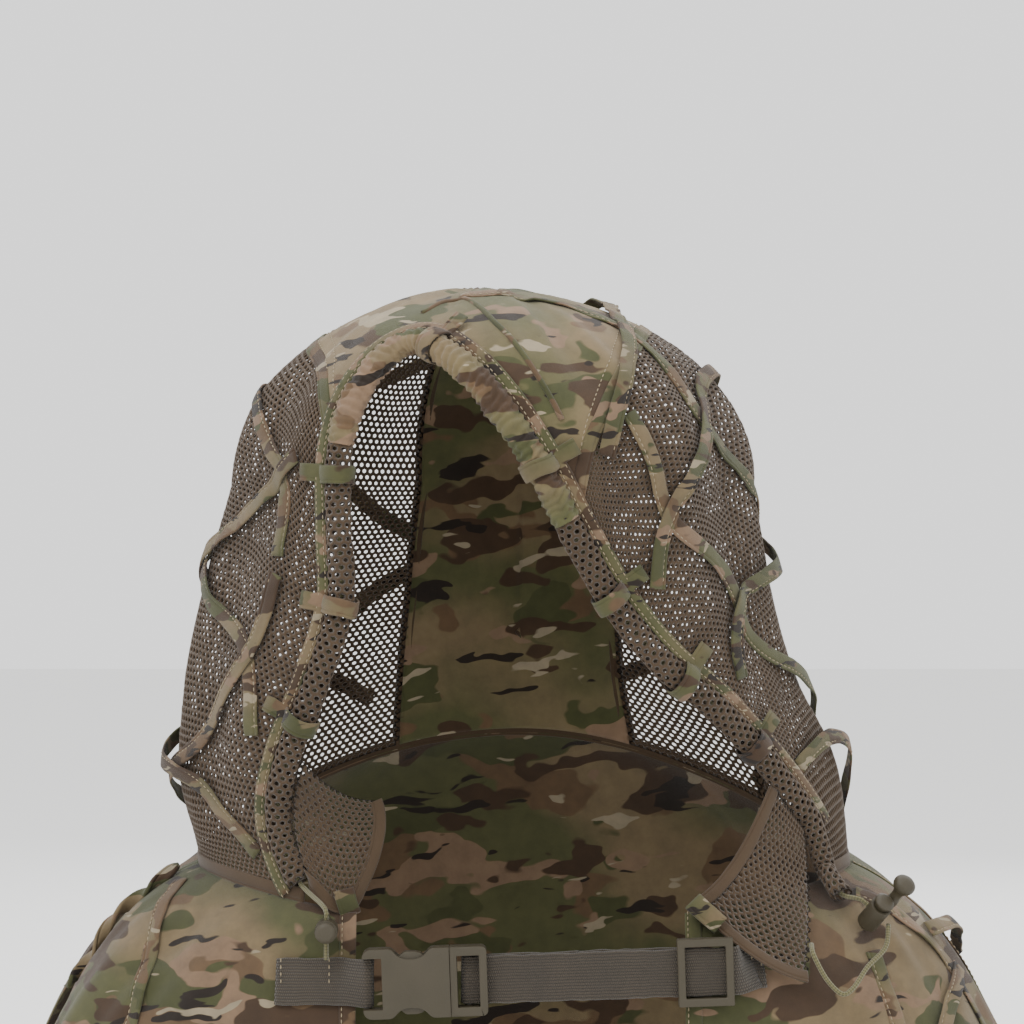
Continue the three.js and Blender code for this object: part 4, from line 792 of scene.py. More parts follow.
def camouflage(name, scale, shift, weave_mm=0.7, shade=1.0):
    """Printed woodland cloth: soft ground, then crisp patches laid one over another."""
    paint = Nodes(name, 0.92, sheen=0.12, specular=0.18)
    ground = [rgb(160, 139, 104), rgb(112, 112, 72)]
    place = paint.coordinates("Object", (1.0, 1.0, 1.55), shift, (0.15, 0.25, 0.3))
    warp = paint.node("ShaderNodeTexNoise", {"Vector": place, "Scale": scale * 2.2,
                                             "Detail": 2.0})
    bent = paint.node("ShaderNodeVectorMath", {0: warp.outputs["Color"], 1: (0.5, 0.5, 0.5)},
                      operation="SUBTRACT")
    bent = paint.node("ShaderNodeVectorMath", {0: bent.outputs[0], "Scale": 0.35 / scale},
                      operation="SCALE")
    place = paint.node("ShaderNodeVectorMath", {0: place, 1: bent.outputs[0]}).outputs[0]
    colour = paint.mix(paint.ramp(paint.noise(place, scale * 0.55, 1.0), 0.42, 0.58), *ground)
    patches = [
        (rgb(134, 107, 78), 1.0, 0.555, (3.1, 0.4, 7.7), (1, 1, 1)),
        (rgb(96, 98, 60), 1.1, 0.575, (8.4, 2.6, 1.2), (1, 1, 1.2)),
        (rgb(170, 140, 112), 1.25, 0.60, (1.7, 9.1, 4.4), (1, 1, 1.3)),
        (rgb(92, 70, 50), 1.2, 0.575, (5.9, 6.3, 2.8), (1, 1, 1.5)),
        (rgb(54, 43, 34), 1.9, 0.635, (2.2, 4.9, 9.6), (0.8, 0.8, 2.1)),
        (rgb(199, 183, 152), 2.0, 0.655, (7.3, 1.1, 5.5), (0.8, 0.8, 1.9)),
    ]
    for tint, size, limit, offset, stretch in patches:
        where = paint.node("ShaderNodeMapping", {
            "Vector": place, "Location": tuple(o * 0.1 for o in offset), "Scale": stretch})
        field = paint.noise(where.outputs[0], scale * size, 2.0, 0.55)
        colour = paint.mix(paint.ramp(field, limit, limit + 0.012), colour, tint)
    wear = paint.ramp(paint.noise(paint.coordinates("Object"), 90, 4.0, 0.65), 0.3, 0.75)
    dull = paint.mix(wear, (0.78 * shade, 0.78 * shade, 0.78 * shade, 1),
                     (1.08 * shade, 1.06 * shade, 1.03 * shade, 1))
    tinted = paint.node("ShaderNodeMix", data_type="RGBA", blend_type="MULTIPLY")
    tinted.inputs[0].default_value = 1.0
    paint.tree.links.new(colour, tinted.inputs[6])
    paint.tree.links.new(dull, tinted.inputs[7])
    paint.colour(tinted.outputs[2])
    creases = paint.noise(paint.coordinates("Object"), 140, 3.0, 0.6)
    height = paint.math("ADD", paint.math("MULTIPLY", weave_height(paint, weave_mm), 0.18),
                        creases)
    paint.bump(height, 0.5, 0.7)
    return paint.material


def knit_material(name, tint, dark):
    paint = Nodes(name, 0.9, sheen=0.15, specular=0.15)
    coarse = paint.ramp(paint.noise(paint.coordinates("Object"), 35, 3.0), 0.35, 0.7)
    fuzz = paint.ramp(paint.noise(paint.coordinates("Object"), 1500, 3.0, 0.7), 0.3, 0.75)
    colour = paint.mix(paint.math("MULTIPLY", coarse, 0.6), tint, dark)
    lit = tuple(min(1.0, c * 1.35) for c in tint[:3]) + (1,)
    paint.colour(paint.mix(paint.math("MULTIPLY", fuzz, 0.55), colour, lit))
    paint.bump(paint.noise(paint.coordinates("Object"), 2200, 2.0), 0.6, 0.25)
    return paint.material


def webbing_material(name, tint):
    """Heavy ribbed webbing: rows along the strap, each crossed by fine threads."""
    paint = Nodes(name, 0.75, sheen=0.15, specular=0.25)
    vector = paint.coordinates("UV", (1 / (1.6 * MM), 1 / (1.1 * MM), 1))
    parts = paint.node("ShaderNodeSeparateXYZ", {0: vector})
    rows = paint.math("ABSOLUTE", paint.math("SINE", paint.math(
        "MULTIPLY", parts.outputs[0], math.pi)))
    shifted = paint.math("ADD", parts.outputs[1], paint.math("MULTIPLY", paint.math(
        "FLOOR", parts.outputs[0]), 0.5))
    picks = paint.math("ABSOLUTE", paint.math("SINE", paint.math(
        "MULTIPLY", shifted, math.pi)))
    height = paint.math("MULTIPLY", rows, paint.math("ADD", picks, 0.4))
    # Painted shade from the weave's height: dark in the grooves between the ribs, light on the rib
    # tops.
    shade = paint.ramp(height, 0.15, 0.8)
    dark = tuple(c * 0.42 for c in tint[:3]) + (1,)
    bright = tuple(min(1, c * 1.15) for c in tint[:3]) + (1,)
    colour = paint.mix(shade, dark, bright)
    patch_share = paint.ramp(paint.noise(paint.coordinates("Object"), 60, 3.0), 0.35, 0.7)
    paint.colour(paint.mix(paint.math("MULTIPLY", patch_share, 0.35), colour, dark))
    paint.bump(height, 0.9, 0.5)
    return paint.material


def plastic_material(name, tint):
    paint = Nodes(name, 0.5, specular=0.4)
    grain = paint.noise(paint.coordinates("Object"), 1400, 2.0)
    broad = paint.ramp(paint.noise(paint.coordinates("Object"), 70, 3.0), 0.3, 0.75)
    light = tuple(min(1, c * 1.25) for c in tint[:3]) + (1,)
    paint.colour(paint.mix(paint.math("MULTIPLY", broad, 0.5), tint, light))
    paint.rough(paint.ramp(grain, -0.9, 1.6))
    paint.bump(grain, 0.25, 0.12)
    return paint.material


def cord_material(name, tint):
    """Braided sheath: two crossing spirals read from the tube's own map."""
    paint = Nodes(name, 0.85, sheen=0.2, specular=0.2)
    turned = []
    for angle in (0.6, -0.6):
        vector = paint.coordinates("UV", (1 / (0.9 * MM),) * 3, (0, 0, 0), (0, 0, angle))
        parts = paint.node("ShaderNodeSeparateXYZ", {0: vector})
        turned.append(paint.math("SINE", paint.math("MULTIPLY", parts.outputs[0], math.pi)))
    braid = paint.math("MULTIPLY", *turned)
    # Painted shade in the braid's hollows: the colour darkens where the braid's height is low.
    dark = tuple(c * 0.5 for c in tint[:3]) + (1,)
    paint.colour(paint.mix(paint.ramp(braid, -0.6, 0.6), dark, tint))
    paint.bump(braid, 0.7, 0.25)
    return paint.material


def thread_material(name, tint):
    paint = Nodes(name, 0.7, sheen=0.2)
    twist = paint.noise(paint.coordinates("Object"), 2500, 1.0)
    paint.colour(paint.mix(twist, tint, tuple(c * 0.6 for c in tint[:3]) + (1,)))
    paint.bump(twist, 0.4, 0.1)
    return paint.material


def steel_material(name):
    paint = Nodes(name, 0.35)
    paint.shader.inputs["Metallic"].default_value = 1.0
    brushed = paint.noise(paint.coordinates("Object", (300, 300, 3000)), 1.0)
    paint.colour(paint.mix(brushed, (0.42, 0.42, 0.41, 1), (0.6, 0.6, 0.58, 1)))
    return paint.material


LOOKS = {}


def looks():
    """All the materials, made once."""
    if not LOOKS:
        settings = bpy.context.scene.ghillie_hood
        knit_tint = (*settings.mesh_colour, 1)
        web_tint = (*settings.webbing_colour, 1)
        plastic_tint = (*settings.plastic_colour, 1)
        LOOKS.update({
            "camo": camouflage("Camouflage cloth", 15, (0.02, 0.11, 0.07), shade=0.5),
            "cape": camouflage("Cape cloth", 14, (0.33, 0.21, 0.48), shade=0.4),
            "tape": camouflage("Garnish tape cloth", 21, (0.7, 0.3, 0.1), 0.6, 0.4),
            "knit": knit_material("Knitted mesh", knit_tint, tuple(
                c * 0.62 for c in knit_tint[:3]) + (1,)),
            "web": webbing_material("Strap webbing", web_tint),
            "plastic": plastic_material("Moulded plastic", plastic_tint),
            "cord": cord_material("Braided cord", rgb(104, 99, 66)),
            "thread": thread_material("Seam thread", rgb(150, 134, 104)),
            "steel": steel_material("Spring steel"),
        })
    return LOOKS


# ---- Finishing a piece --------------------------------------------------------------------------
def clothe(obj, look):
    obj.data.materials.clear()
    obj.data.materials.append(looks()[look])


def settle(obj, look, nodes=(), body=None):
    """Gives a piece its material and its body; with no body its transform is baked into its mesh.
    """
    clothe(obj, look)
    if body is None:
        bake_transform(obj)
    else:
        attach(obj, body)
    if nodes:
        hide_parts(*nodes)
    return obj


def lay_out(obj):
    """Reads the areas of a cloth panel's faces."""
    mesh = obj.data
    areas = np.zeros(len(mesh.polygons))
    mesh.polygons.foreach_get("area", areas)


STITCH_ROWS = {"hood": [], "cape": []}


def stitch(where, points):
    STITCH_ROWS[where].append(np.asarray(points, float))


def stitch_tree(material):
    """Geometry nodes that lay short threads along curves."""
    tree = bpy.data.node_groups.new("Stitch rows", "GeometryNodeTree")
    face = tree.interface
    face.new_socket("Geometry", in_out="INPUT", socket_type="NodeSocketGeometry")
    for name, value in (("Pitch", 3 * MM), ("Thread length", 2.2 * MM),
                        ("Thread radius", 0.32 * MM)):
        socket = face.new_socket(name, in_out="INPUT", socket_type="NodeSocketFloat")
        socket.default_value = value
    face.new_socket("Geometry", in_out="OUTPUT", socket_type="NodeSocketGeometry")
    new, link = tree.nodes.new, tree.links.new
    given, made = new("NodeGroupInput"), new("NodeGroupOutput")
    points = new("GeometryNodeCurveToPoints")
    points.mode = "LENGTH"
    link(given.outputs["Geometry"], points.inputs["Curve"])
    link(given.outputs["Pitch"], points.inputs["Length"])
    thread = new("GeometryNodeMeshUVSphere")
    thread.inputs["Segments"].default_value = 6
    thread.inputs["Rings"].default_value = 4
    thread.inputs["Radius"].default_value = 1.0
    size = new("ShaderNodeCombineXYZ")
    half = new("ShaderNodeMath")
    half.operation = "MULTIPLY"
    half.inputs[1].default_value = 0.5
    link(given.outputs["Thread length"], half.inputs[0])
    link(given.outputs["Thread radius"], size.inputs[0])
    link(given.outputs["Thread radius"], size.inputs[1])
    link(half.outputs[0], size.inputs[2])
    turn = new("FunctionNodeAlignRotationToVector")
    turn.axis = "Z"
    link(points.outputs["Tangent"], turn.inputs["Vector"])
    place = new("GeometryNodeInstanceOnPoints")
    link(points.outputs["Points"], place.inputs["Points"])
    link(thread.outputs["Mesh"], place.inputs["Instance"])
    link(turn.outputs["Rotation"], place.inputs["Rotation"])
    link(size.outputs[0], place.inputs["Scale"])
    real = new("GeometryNodeRealizeInstances")
    paint = new("GeometryNodeSetMaterial")
    paint.inputs["Material"].default_value = material
    link(place.outputs[0], real.inputs[0])
    link(real.outputs[0], paint.inputs["Geometry"])
    link(paint.outputs[0], made.inputs[0])
    return tree


def socket_name(tree, name):
    return next(item.identifier for item in tree.interface.items_tree
                if item.name == name and item.in_out == "INPUT")


def stitches(name, rows, tree, pitch):
    """All of one body's stitch rows as one plain mesh."""
    curve = bpy.data.curves.new(name, "CURVE")
    curve.dimensions = "3D"
    for row in rows:
        spline = curve.splines.new("POLY")
        spline.points.add(len(row) - 1)
        flat = np.hstack([row * MM, np.ones((len(row), 1))])
        spline.points.foreach_set("co", flat.ravel())
    source = bpy.data.objects.new(name + "_rows", curve)
    bpy.context.scene.collection.objects.link(source)
    modifier = source.modifiers.new("Stitches", "NODES")
    modifier.node_group = tree
    modifier[socket_name(tree, "Pitch")] = pitch
    mesh = bpy.data.meshes.new_from_object(
        source.evaluated_get(bpy.context.evaluated_depsgraph_get()))
    bpy.data.objects.remove(source)
    obj = bpy.data.objects.new(name, mesh)
    bpy.context.scene.collection.objects.link(obj)
    mesh.polygons.foreach_set("use_smooth", [True] * len(mesh.polygons))
    return obj


# ---- Routes -------------------------------------------------------------------------------------
def tape_path(place, flats, route, level):
    """Underside points and normals of a garnish tape."""
    lifts = np.array([r[2] for r in route], float)
    curve = curve_through(np.hstack([flats, lifts[:, None] / 200]))
    dense = curve(np.linspace(0, 1, 400))
    at, _ = place(dense[:, :2])
    travel = travelled(at)
    steps = np.linspace(0, travel[-1], max(8, int(travel[-1] / TAPE_STEP)))
    dense = np.stack([np.interp(steps, travel, dense[:, k]) for k in range(3)], 1)
    stand = 1.0 + TAPE_GAP + level * 1.7 + np.maximum(0, dense[:, 2] * 200)
    at, normal = place(dense[:, :2])
    return at + normal * stand[:, None], normal


def channel_line(start, end, count):
    flat = beside_edge(np.linspace(start, end, count), CHANNEL_RADIUS)
    return hood_at(flat) + hood_normal(flat) * (CLOTH / 2), hood_normal(flat)


def channel_tail():
    """The channel's right end, which comes off the hood and lies on the cape."""
    return [on_cape(turn, fall, CLOTH + CHANNEL_RADIUS + CHANNEL_CLEAR)
            for turn, fall in ((63, 0.01), (60, 0.05), (58, 0.09), (57, 0.12))]


def lock_places():
    """Each lock's base, axis and bore direction."""
    left = cape_at(np.array([[-31 / 90, 0.1]]))[0] + np.array([0, -LOCK_STAND - 3, 0])
    flat = np.array([[57 / 90, 0.22]])
    axis = cape_normal(flat)[0]
    bore = (cape_at(flat + [0, 0.01]) - cape_at(flat))[0]
    bore = unit(bore - axis * bore.dot(axis))
    right = cape_at(flat)[0] + axis * LOCK_STAND
    return {"left": (left, np.array([0, -1.0, 0]), np.array([0, 0, -1.0])),
            "right": (right, axis, bore)}


def lock_pass(lock, along):
    base, axis, bore = lock_places()[lock]
    return [base + axis * LOCK_CORD_PASS + bore * a for a in along]


def strap_to_world(points):
    angle = math.radians(STRAP_TILT)
    points = np.atleast_2d(np.asarray(points, float))
    x = points[:, 0] * math.cos(angle) + points[:, 2] * math.sin(angle)
    z = -points[:, 0] * math.sin(angle) + points[:, 2] * math.cos(angle)
    return np.stack([x, points[:, 1], z + STRAP_HEIGHT], 1)


def sewn_to(x):
    """Where the webbing lies on the cape at a place along the strap."""
    height = STRAP_HEIGHT - x * math.tan(math.radians(STRAP_TILT))
    low, high = 0.0, 1.0
    for _ in range(30):
        middle = (low + high) / 2
        at = cape_at(np.array([[front_turn(x, middle)[0], middle]]))[0]
        low, high = (middle, high) if at[2] > height else (low, middle)
    flat = np.array([[front_turn(x, low)[0], low]])
    normal = cape_normal(flat)[0]
    return cape_at(flat)[0] + normal * 2.5, normal


# ---- Settings, operators and panel --------------------------------------------------------------
class GhillieHoodSettings(bpy.types.PropertyGroup):
    """Sizes and colours of the cloth, tapes and stitches."""

    mesh_pitch: FloatProperty(
        name="Mesh pitch", description="Distance between the mesh cloth's holes",
        default=3.8 * MM, min=2.5 * MM, unit="LENGTH")
    strand: FloatProperty(
        name="Strand", description="Half thickness of the mesh cloth's strands",
        default=0.45 * MM, min=0.1 * MM, unit="LENGTH")
    cloth_thickness: FloatProperty(
        name="Cloth thickness", description="Thickness of the printed cloth panels",
        default=0.8 * MM, min=0.3 * MM, unit="LENGTH")
    tape_width: FloatProperty(
        name="Tape width", description="Width of the garnish tapes",
        default=9.5 * MM, min=4 * MM, unit="LENGTH")
    tape_thickness: FloatProperty(
        name="Tape thickness", description="Thickness of the folded garnish tapes",
        default=1.2 * MM, min=0.4 * MM, unit="LENGTH")
    stitch_pitch: FloatProperty(
        name="Stitch pitch", description="Distance from one stitch to the next",
        default=3.2 * MM, min=1.5 * MM, unit="LENGTH")
    brim_gathers: IntProperty(
        name="Brim gathers", description="Gathers along the brim", default=44, min=4)
    mesh_colour: FloatVectorProperty(
        name="Mesh colour", description="Colour of the knitted mesh", subtype="COLOR",
        size=3, default=rgb(64, 50, 35)[:3])
    webbing_colour: FloatVectorProperty(
        name="Webbing colour", description="Colour of the chest strap", subtype="COLOR",
        size=3, default=rgb(58, 50, 39)[:3])
    plastic_colour: FloatVectorProperty(
        name="Plastic colour", description="Colour of the buckle, slider and cord locks",
        subtype="COLOR", size=3, default=rgb(54, 48, 34)[:3])


class HoodOperator:
    """What every operator here shares."""

    bl_options = {"REGISTER", "UNDO"}

    def execute(self, context):
        self.make(context.scene.ghillie_hood)
        return {"FINISHED"}


class GHILLIE_OT_stage(HoodOperator, bpy.types.Operator):
    """Make the floor, the soft lights and the camera"""

    bl_idname = "ghillie.stage"
    bl_label = "Stage"

    def make(self, settings):
        low = min(corner[2] for corner in CAD_BOX)
        mesh = bpy.data.meshes.new("floor")
        reach = 6.0
        mesh.from_pydata([(-reach, -reach, low - 0.004), (reach, -reach, low - 0.004),
                          (reach, reach, low - 0.004), (-reach, reach, low - 0.004)],
                         [], [(0, 1, 2, 3)])
        floor = bpy.data.objects.new("floor", mesh)
        bpy.context.scene.collection.objects.link(floor)
        paint = Nodes("Pale floor", 0.9)
        paint.shader.inputs["Base Color"].default_value = (0.86, 0.86, 0.85, 1)
        mesh.materials.append(paint.material)
        world = bpy.data.worlds.new("Studio")
        bpy.context.scene.world = world
        world.use_nodes = True
        world.node_tree.nodes["Background"].inputs["Color"].default_value = (1, 1, 1, 1)
        world.node_tree.nodes["Background"].inputs["Strength"].default_value = 1.5
        for name, place, size, power in (
                ("key", (-1.3, -1.9, 2.3), 1.2, 46), ("fill", (1.8, -1.7, 0.9), 1.6, 12),
                ("top", (0.1, 0.3, 2.2), 1.6, 26), ("back", (0.4, 2.1, 1.0), 1.6, 16)):
            light = bpy.data.lights.new(name, "AREA")
            light.size = size
            light.energy = power
            lamp = bpy.data.objects.new(name, light)
            lamp.location = place
            aim = Vector((0, 0, 0.1)) - Vector(place)
            lamp.rotation_euler = aim.to_track_quat("-Z", "Y").to_euler()
            bpy.context.scene.collection.objects.link(lamp)
        camera = bpy.data.objects.new("camera", bpy.data.cameras.new("camera"))
        target = Vector((-0.005, -0.05, 0.195))
        distance, raised = 2.3, math.radians(1.5)
        camera.location = target + Vector((0, -math.cos(raised), math.sin(raised))) * distance
        camera.rotation_euler = (target - camera.location).to_track_quat("-Z", "Y").to_euler()
        camera.data.angle = 2 * math.atan(0.2715 / distance)
        bpy.context.scene.collection.objects.link(camera)
        bpy.context.scene.camera = camera


class GHILLIE_OT_cords(HoodOperator, bpy.types.Operator):
    """Make the drawcord in the channel and its free loop"""

    bl_idname = "ghillie.cords"
    bl_label = "Cords"

    def make(self, settings):
        loop_points = [lock_pass("right", [9])[0]]
        loop_points += [on_cape(*stand) for stand in (
            (53, 0.32, 13), (47, 0.36, 12), (42, 0.41, 12), (40, 0.42, 12), (38.8, 0.38, 12))]
        corner = np.array([148.0, -107.0, -45.0])
        loop_points += [corner + [DRAWCORD_RADIUS + 2, 0, 12],
                        corner + [DRAWCORD_RADIUS + 1.6, 9, 16]]
        line = curve_through(loop_points)(np.linspace(0, 1, 300))
        route = even_steps(line, 2.2)
        up = np.tile([0.3, -1.0, 0.4], (len(route), 1))
        loop = tube("drawcord_loop_cord", route, unit(up), DRAWCORD_RADIUS, DRAWCORD_RADIUS, 12)
        settle(loop, "cord", ["drawcord_loop"], "cape")
        left = lock_pass("left", [-10, -5, 0, 5])[::-1]
        base, axis, _ = lock_places()["left"]
        tail = base + axis * LOCK_CORD_PASS + np.array([0, 0, -15.0])
        first, _ = channel_line(CHANNEL_FROM, CHANNEL_TO - 0.01, 60)
        points = [tail, *left, *first, *channel_tail(), *lock_pass("right", [-10, -5, 0, 5])]
        line = even_steps(curve_through(points)(np.linspace(0, 1, 1500)), 3.0)
        up = np.tile([0.0, 0.35, 1.0], (len(line), 1)) + line * 0.004
        cord = tube("drawcord_in_channel", line, unit(up), DRAWCORD_RADIUS, DRAWCORD_RADIUS, 10)
        settle(cord, "cord", ["drawcord"])


class GHILLIE_OT_mesh_panels(HoodOperator, bpy.types.Operator):
    """Make the hood's knitted mesh panels with real holes"""

    bl_idname = "ghillie.mesh_panels"
    bl_label = "Mesh panels"

    def make(self, settings):
        panels = {
            "hood_side_mesh_left": side_flat(BRIM_FROM, CHANNEL_FROM, 1.0, 360 - SIDE_SEAM),
            "hood_side_mesh_right": side_flat(BRIM_TO, CHANNEL_TO, 0.0, SIDE_SEAM),
            "hood_back_mesh_right": wall_flat(SIDE_SEAM, CENTRE_SEAM),
            "hood_back_mesh_left": wall_flat(360 - CENTRE_SEAM, 360 - SIDE_SEAM),
        }
        for seed, (node, flat) in enumerate(panels.items()):
            piece, size = knit(node + "_knit", lambda u, v, f=flat: hood_place(f(u, v), MESH_STAND),
                               settings.mesh_pitch / MM, settings.strand / MM, seed + 1,
                               hole=SIDE_HOLE if "side" in node else BACK_HOLE)
            settle(piece, "knit", [node])
            lay_out(piece)


class GHILLIE_OT_cloth_panels(HoodOperator, bpy.types.Operator):
    """Make the crown and the centre back panel of printed cloth"""

    bl_idname = "ghillie.cloth_panels"
    bl_label = "Crown and back cloth"

    def make(self, settings):
        panels = {"hood_crown_panel": crown_flat(),
                  "hood_back_panel": wall_flat(CENTRE_SEAM, 360 - CENTRE_SEAM)}
        for node, flat in panels.items():
            piece, size = cloth(node + "_cloth",
                                lambda u, v, f=flat: hood_place(f(u, v), CLOTH_STAND),
                                2.5, settings.cloth_thickness / MM)
            settle(piece, "camo", [node])
            lay_out(piece)
        ridge = curve_through([[*hood_flat([[t, s]])[0]] for t, s in (
            (-33, 0.955), (-21, 0.98), (-2, 0.93), (6, 0.86), (11, 0.78))])
        at, normal = hood_place(even_steps(ridge(np.linspace(0, 1, 200)), 0.008), 1.2)
        piping = tube("crown_piping", at, normal, 1.6, 1.5, 10)
        settle(piping, "tape")
        for shift in (0.012, 0.03):
            line = part_of(crown_seam, 0.0, 1.0)(np.linspace(0, 1, 500))
            line = line * (1 - shift / np.hypot(line[:, 0], line[:, 1]))[:, None]
            stitch("hood", hood_place(line, 1.45)[0])


class GHILLIE_OT_seams(HoodOperator, bpy.types.Operator):
    """Make the bound seams between the panels and round the rim"""

    bl_idname = "ghillie.seams"
    bl_label = "Bound seams"

    def make(self, settings):
        seams = {"crown_seam": crown_seam(np.linspace(0, 1, 220))}
        for name, turn in (("side_seam_right", SIDE_SEAM), ("side_seam_left", 360 - SIDE_SEAM),
                           ("back_seam_right", CENTRE_SEAM),
                           ("back_seam_left", 360 - CENTRE_SEAM)):
            top = from_plane(crown_seam([crown_seam_at(turn)]))[1][0]
            seams[name] = to_plane(turn, np.linspace(top, RIM, 100))
        seams["rim_binding"] = to_plane(np.linspace(66, 319, 260), RIM)
        for k, (name, flat) in enumerate(seams.items()):
            at, normal = hood_place(flat, 0.9)
            piece = ribbon(name, at, normal, 8.0, 1.0, flutter=0.03, seed=40 + k)
            settle(piece, "tape" if name == "crown_seam" else "knit")


class GHILLIE_OT_brim(HoodOperator, bpy.types.Operator):
    """Make the gathered brim of printed cloth"""

    bl_idname = "ghillie.brim"
    bl_label = "Brim"

    def make(self, settings):
        at, normal = channel_line(BRIM_FROM - 0.004, BRIM_TO + 0.004, 260)
        gathers = settings.brim_gathers

        def wrinkle(s, a):
            cells = np.stack([s.ravel() / 9, np.cos(a).ravel() * 1.6, np.sin(a).ravel() * 1.6], 1)
            bunch = noise(cells, 21).reshape(s.shape)
            pleat = np.sin(s / s.max() * 2 * math.pi * gathers + 2.2 * a + 3 * bunch)
            fine = noise(cells * 2.4, 22).reshape(s.shape)
            return BUNCH * bunch + PLEAT * pleat + RUCK * fine
        piece = tube("hood_brim_cloth", at, normal, 7.6, 6.2, 40, wrinkle)
        settle(piece, "camo", ["hood_brim"])


class GHILLIE_OT_channels(HoodOperator, bpy.types.Operator):
    """Make the two mesh channels beside the face opening"""

    bl_idname = "ghillie.channels"
    bl_label = "Mesh channels"

    def make(self, settings):
        left, _ = channel_line(CHANNEL_FROM, BRIM_FROM, 120)
        right, _ = channel_line(BRIM_TO, CHANNEL_TO - 0.01, 110)
        right = curve_through([*right[::6], *channel_tail()])(np.linspace(0, 1, 300))
        for side, line in (("left", left), ("right", right)):
            line = even_steps(line, 3)
            normal = hood_normal(hood_flat_of(line))
            _, across, up = path_frames(line, normal)

            def place(u, v, line=line, across=across, up=up):
                k = v * (len(line) - 1)
                near = np.clip(k, 0, len(line) - 1)
                pick = [np.stack([np.interp(near, np.arange(len(line)), part[:, c])
                                  for c in range(3)], 1) for part in (line, across, up)]
                angle = u * 2 * math.pi
                ripple = 0.5 * noise(np.stack([k / 4, np.cos(angle), np.sin(angle)], 1), 31)
                flat = np.cos(angle)[:, None] * (7.2 + ripple)[:, None]
                high = np.sin(angle)[:, None] * (4.6 + ripple)[:, None]
                out = pick[1] * np.cos(angle)[:, None] + pick[2] * np.sin(angle)[:, None] * 1.4
                return pick[0] + pick[1] * flat + pick[2] * high, unit(out)
            piece, _ = knit(f"hood_channel_{side}_knit", place, 4.4, 0.5, 50, wrap=True)
            settle(piece, "knit", [f"hood_channel_{side}"])


class GHILLIE_OT_channel_trim(HoodOperator, bpy.types.Operator):
    """Make the piping along the channel and the tape rings round it"""

    bl_idname = "ghillie.channel_trim"
    bl_label = "Channel piping and rings"

    def make(self, settings):
        flat = beside_edge(np.linspace(CHANNEL_FROM, CHANNEL_TO, 320), PANEL_START + 3.4)
        at, normal = hood_place(flat, 2.0)
        piece = ribbon("hood_edge_piping_tape", at, normal, 7.0, 1.5, flutter=0.05, seed=3)
        settle(piece, "tape", ["hood_edge_piping"])
        for shift in (-2.0, 2.0):
            side = path_frames(at, normal)[1]
            stitch("hood", at + side * shift + normal * 1.5)
        for k, t in enumerate(CHANNEL_LOOPS):
            self.ring(k, t, settings)

    @staticmethod
    def ring(k, t, settings):
        flat = beside_edge([t - 0.004, t, t + 0.004], CHANNEL_RADIUS)
        points = hood_at(flat) + hood_normal(flat) * (CLOTH / 2)
        middle, along = points[1], unit(points[2] - points[0])
        outward = hood_at(beside_edge([t], CHANNEL_RADIUS + 4))[0] - middle
        outward = unit(outward - along * outward.dot(along))
        up = np.cross(along, outward)
        up = up if up.dot(hood_normal(flat[1:2])[0]) > 0 else -up
        angle = np.radians(np.linspace(24, 336, 44))
        wide, high = 9.0, 7.6
        line = (middle + outward * (wide * np.cos(angle))[:, None]
                + up * (high * np.sin(angle))[:, None])
        normal = unit(outward * (np.cos(angle) / wide)[:, None]
                      + up * (np.sin(angle) / high)[:, None])
        tail = np.array([line[0] + outward * r + up * 0.35 * r for r in (13.0, 9.0, 5.0, 2.0)])
        line = np.vstack([tail, line])
        normal = np.vstack([np.tile(up, (4, 1)), normal])
        line = line + along * (1.2 * noise(
            np.stack([np.arange(len(line)) / 9, np.full(len(line), k), np.zeros(len(line))], 1),
            60))[:, None]
        piece = ribbon(f"channel_ring_{k + 1}", line, normal, settings.tape_width / MM,
                       settings.tape_thickness / MM, flutter=0.05, seed=70 + k)
        settle(piece, "tape", [f"channel_loop_{k + 1}"])


class GHILLIE_OT_hood_tapes(HoodOperator, bpy.types.Operator):
    """Make the garnish tapes sewn over the hood"""

    bl_idname = "ghillie.hood_tapes"
    bl_label = "Hood garnish tapes"

    def make(self, settings):
        for k, (name, (level, route)) in enumerate(HOOD_TAPES.items()):
            at, normal = tape_path(hood_place, hood_flat(route), route, level)
            make_tape(name, at, normal, settings, 100 + 7 * k, "hood")


class GHILLIE_OT_cape(HoodOperator, bpy.types.Operator):
    """Make the three cape panels with their hems"""

    bl_idname = "ghillie.cape"
    bl_label = "Cape"

    def make(self, settings):
        seam = SHOULDER_SEAM / 90
        sides = {
            "cape_front_left": (lambda f: front_turn(FRONT_EDGE_LEFT, f), lambda f: -seam + 0 * f),
            "cape_front_right": (lambda f: front_turn(FRONT_EDGE_RIGHT, f), lambda f: seam + 0 * f),
            "cape_back": (lambda f: seam + 0 * f, lambda f: 4 - seam + 0 * f),
        }
        for name, (start, end) in sides.items():
            def flat(u, v, start=start, end=end):
                fall = lerp(0.004, 1, v)
                return np.stack([lerp(start(fall), end(fall), u), fall], 1)
            piece, size = cloth(name + "_cloth",
                                lambda u, v, f=flat: cape_place(f(u, v), CLOTH_STAND),
                                3.4, settings.cloth_thickness / MM)
            settle(piece, "cape", [name], "cape")
            lay_out(piece)
            fall = np.linspace(0.02, 1, 160)
            edges = {"start": np.stack([start(fall), fall], 1),
                     "hem": flat(np.linspace(0, 1, 220), np.full(220, 0.985))}
            for part, line in edges.items():
                at, normal = cape_place(line, 1.2)
                binding = ribbon(f"{name}_{part}_binding", at, normal, 9.0, 0.9, flutter=0.03,
                                 seed=len(name) + len(part))
                settle(binding, "cape", (), "cape")
                stitch("cape", at + path_frames(at, normal)[1] * 3 + normal * 0.95)


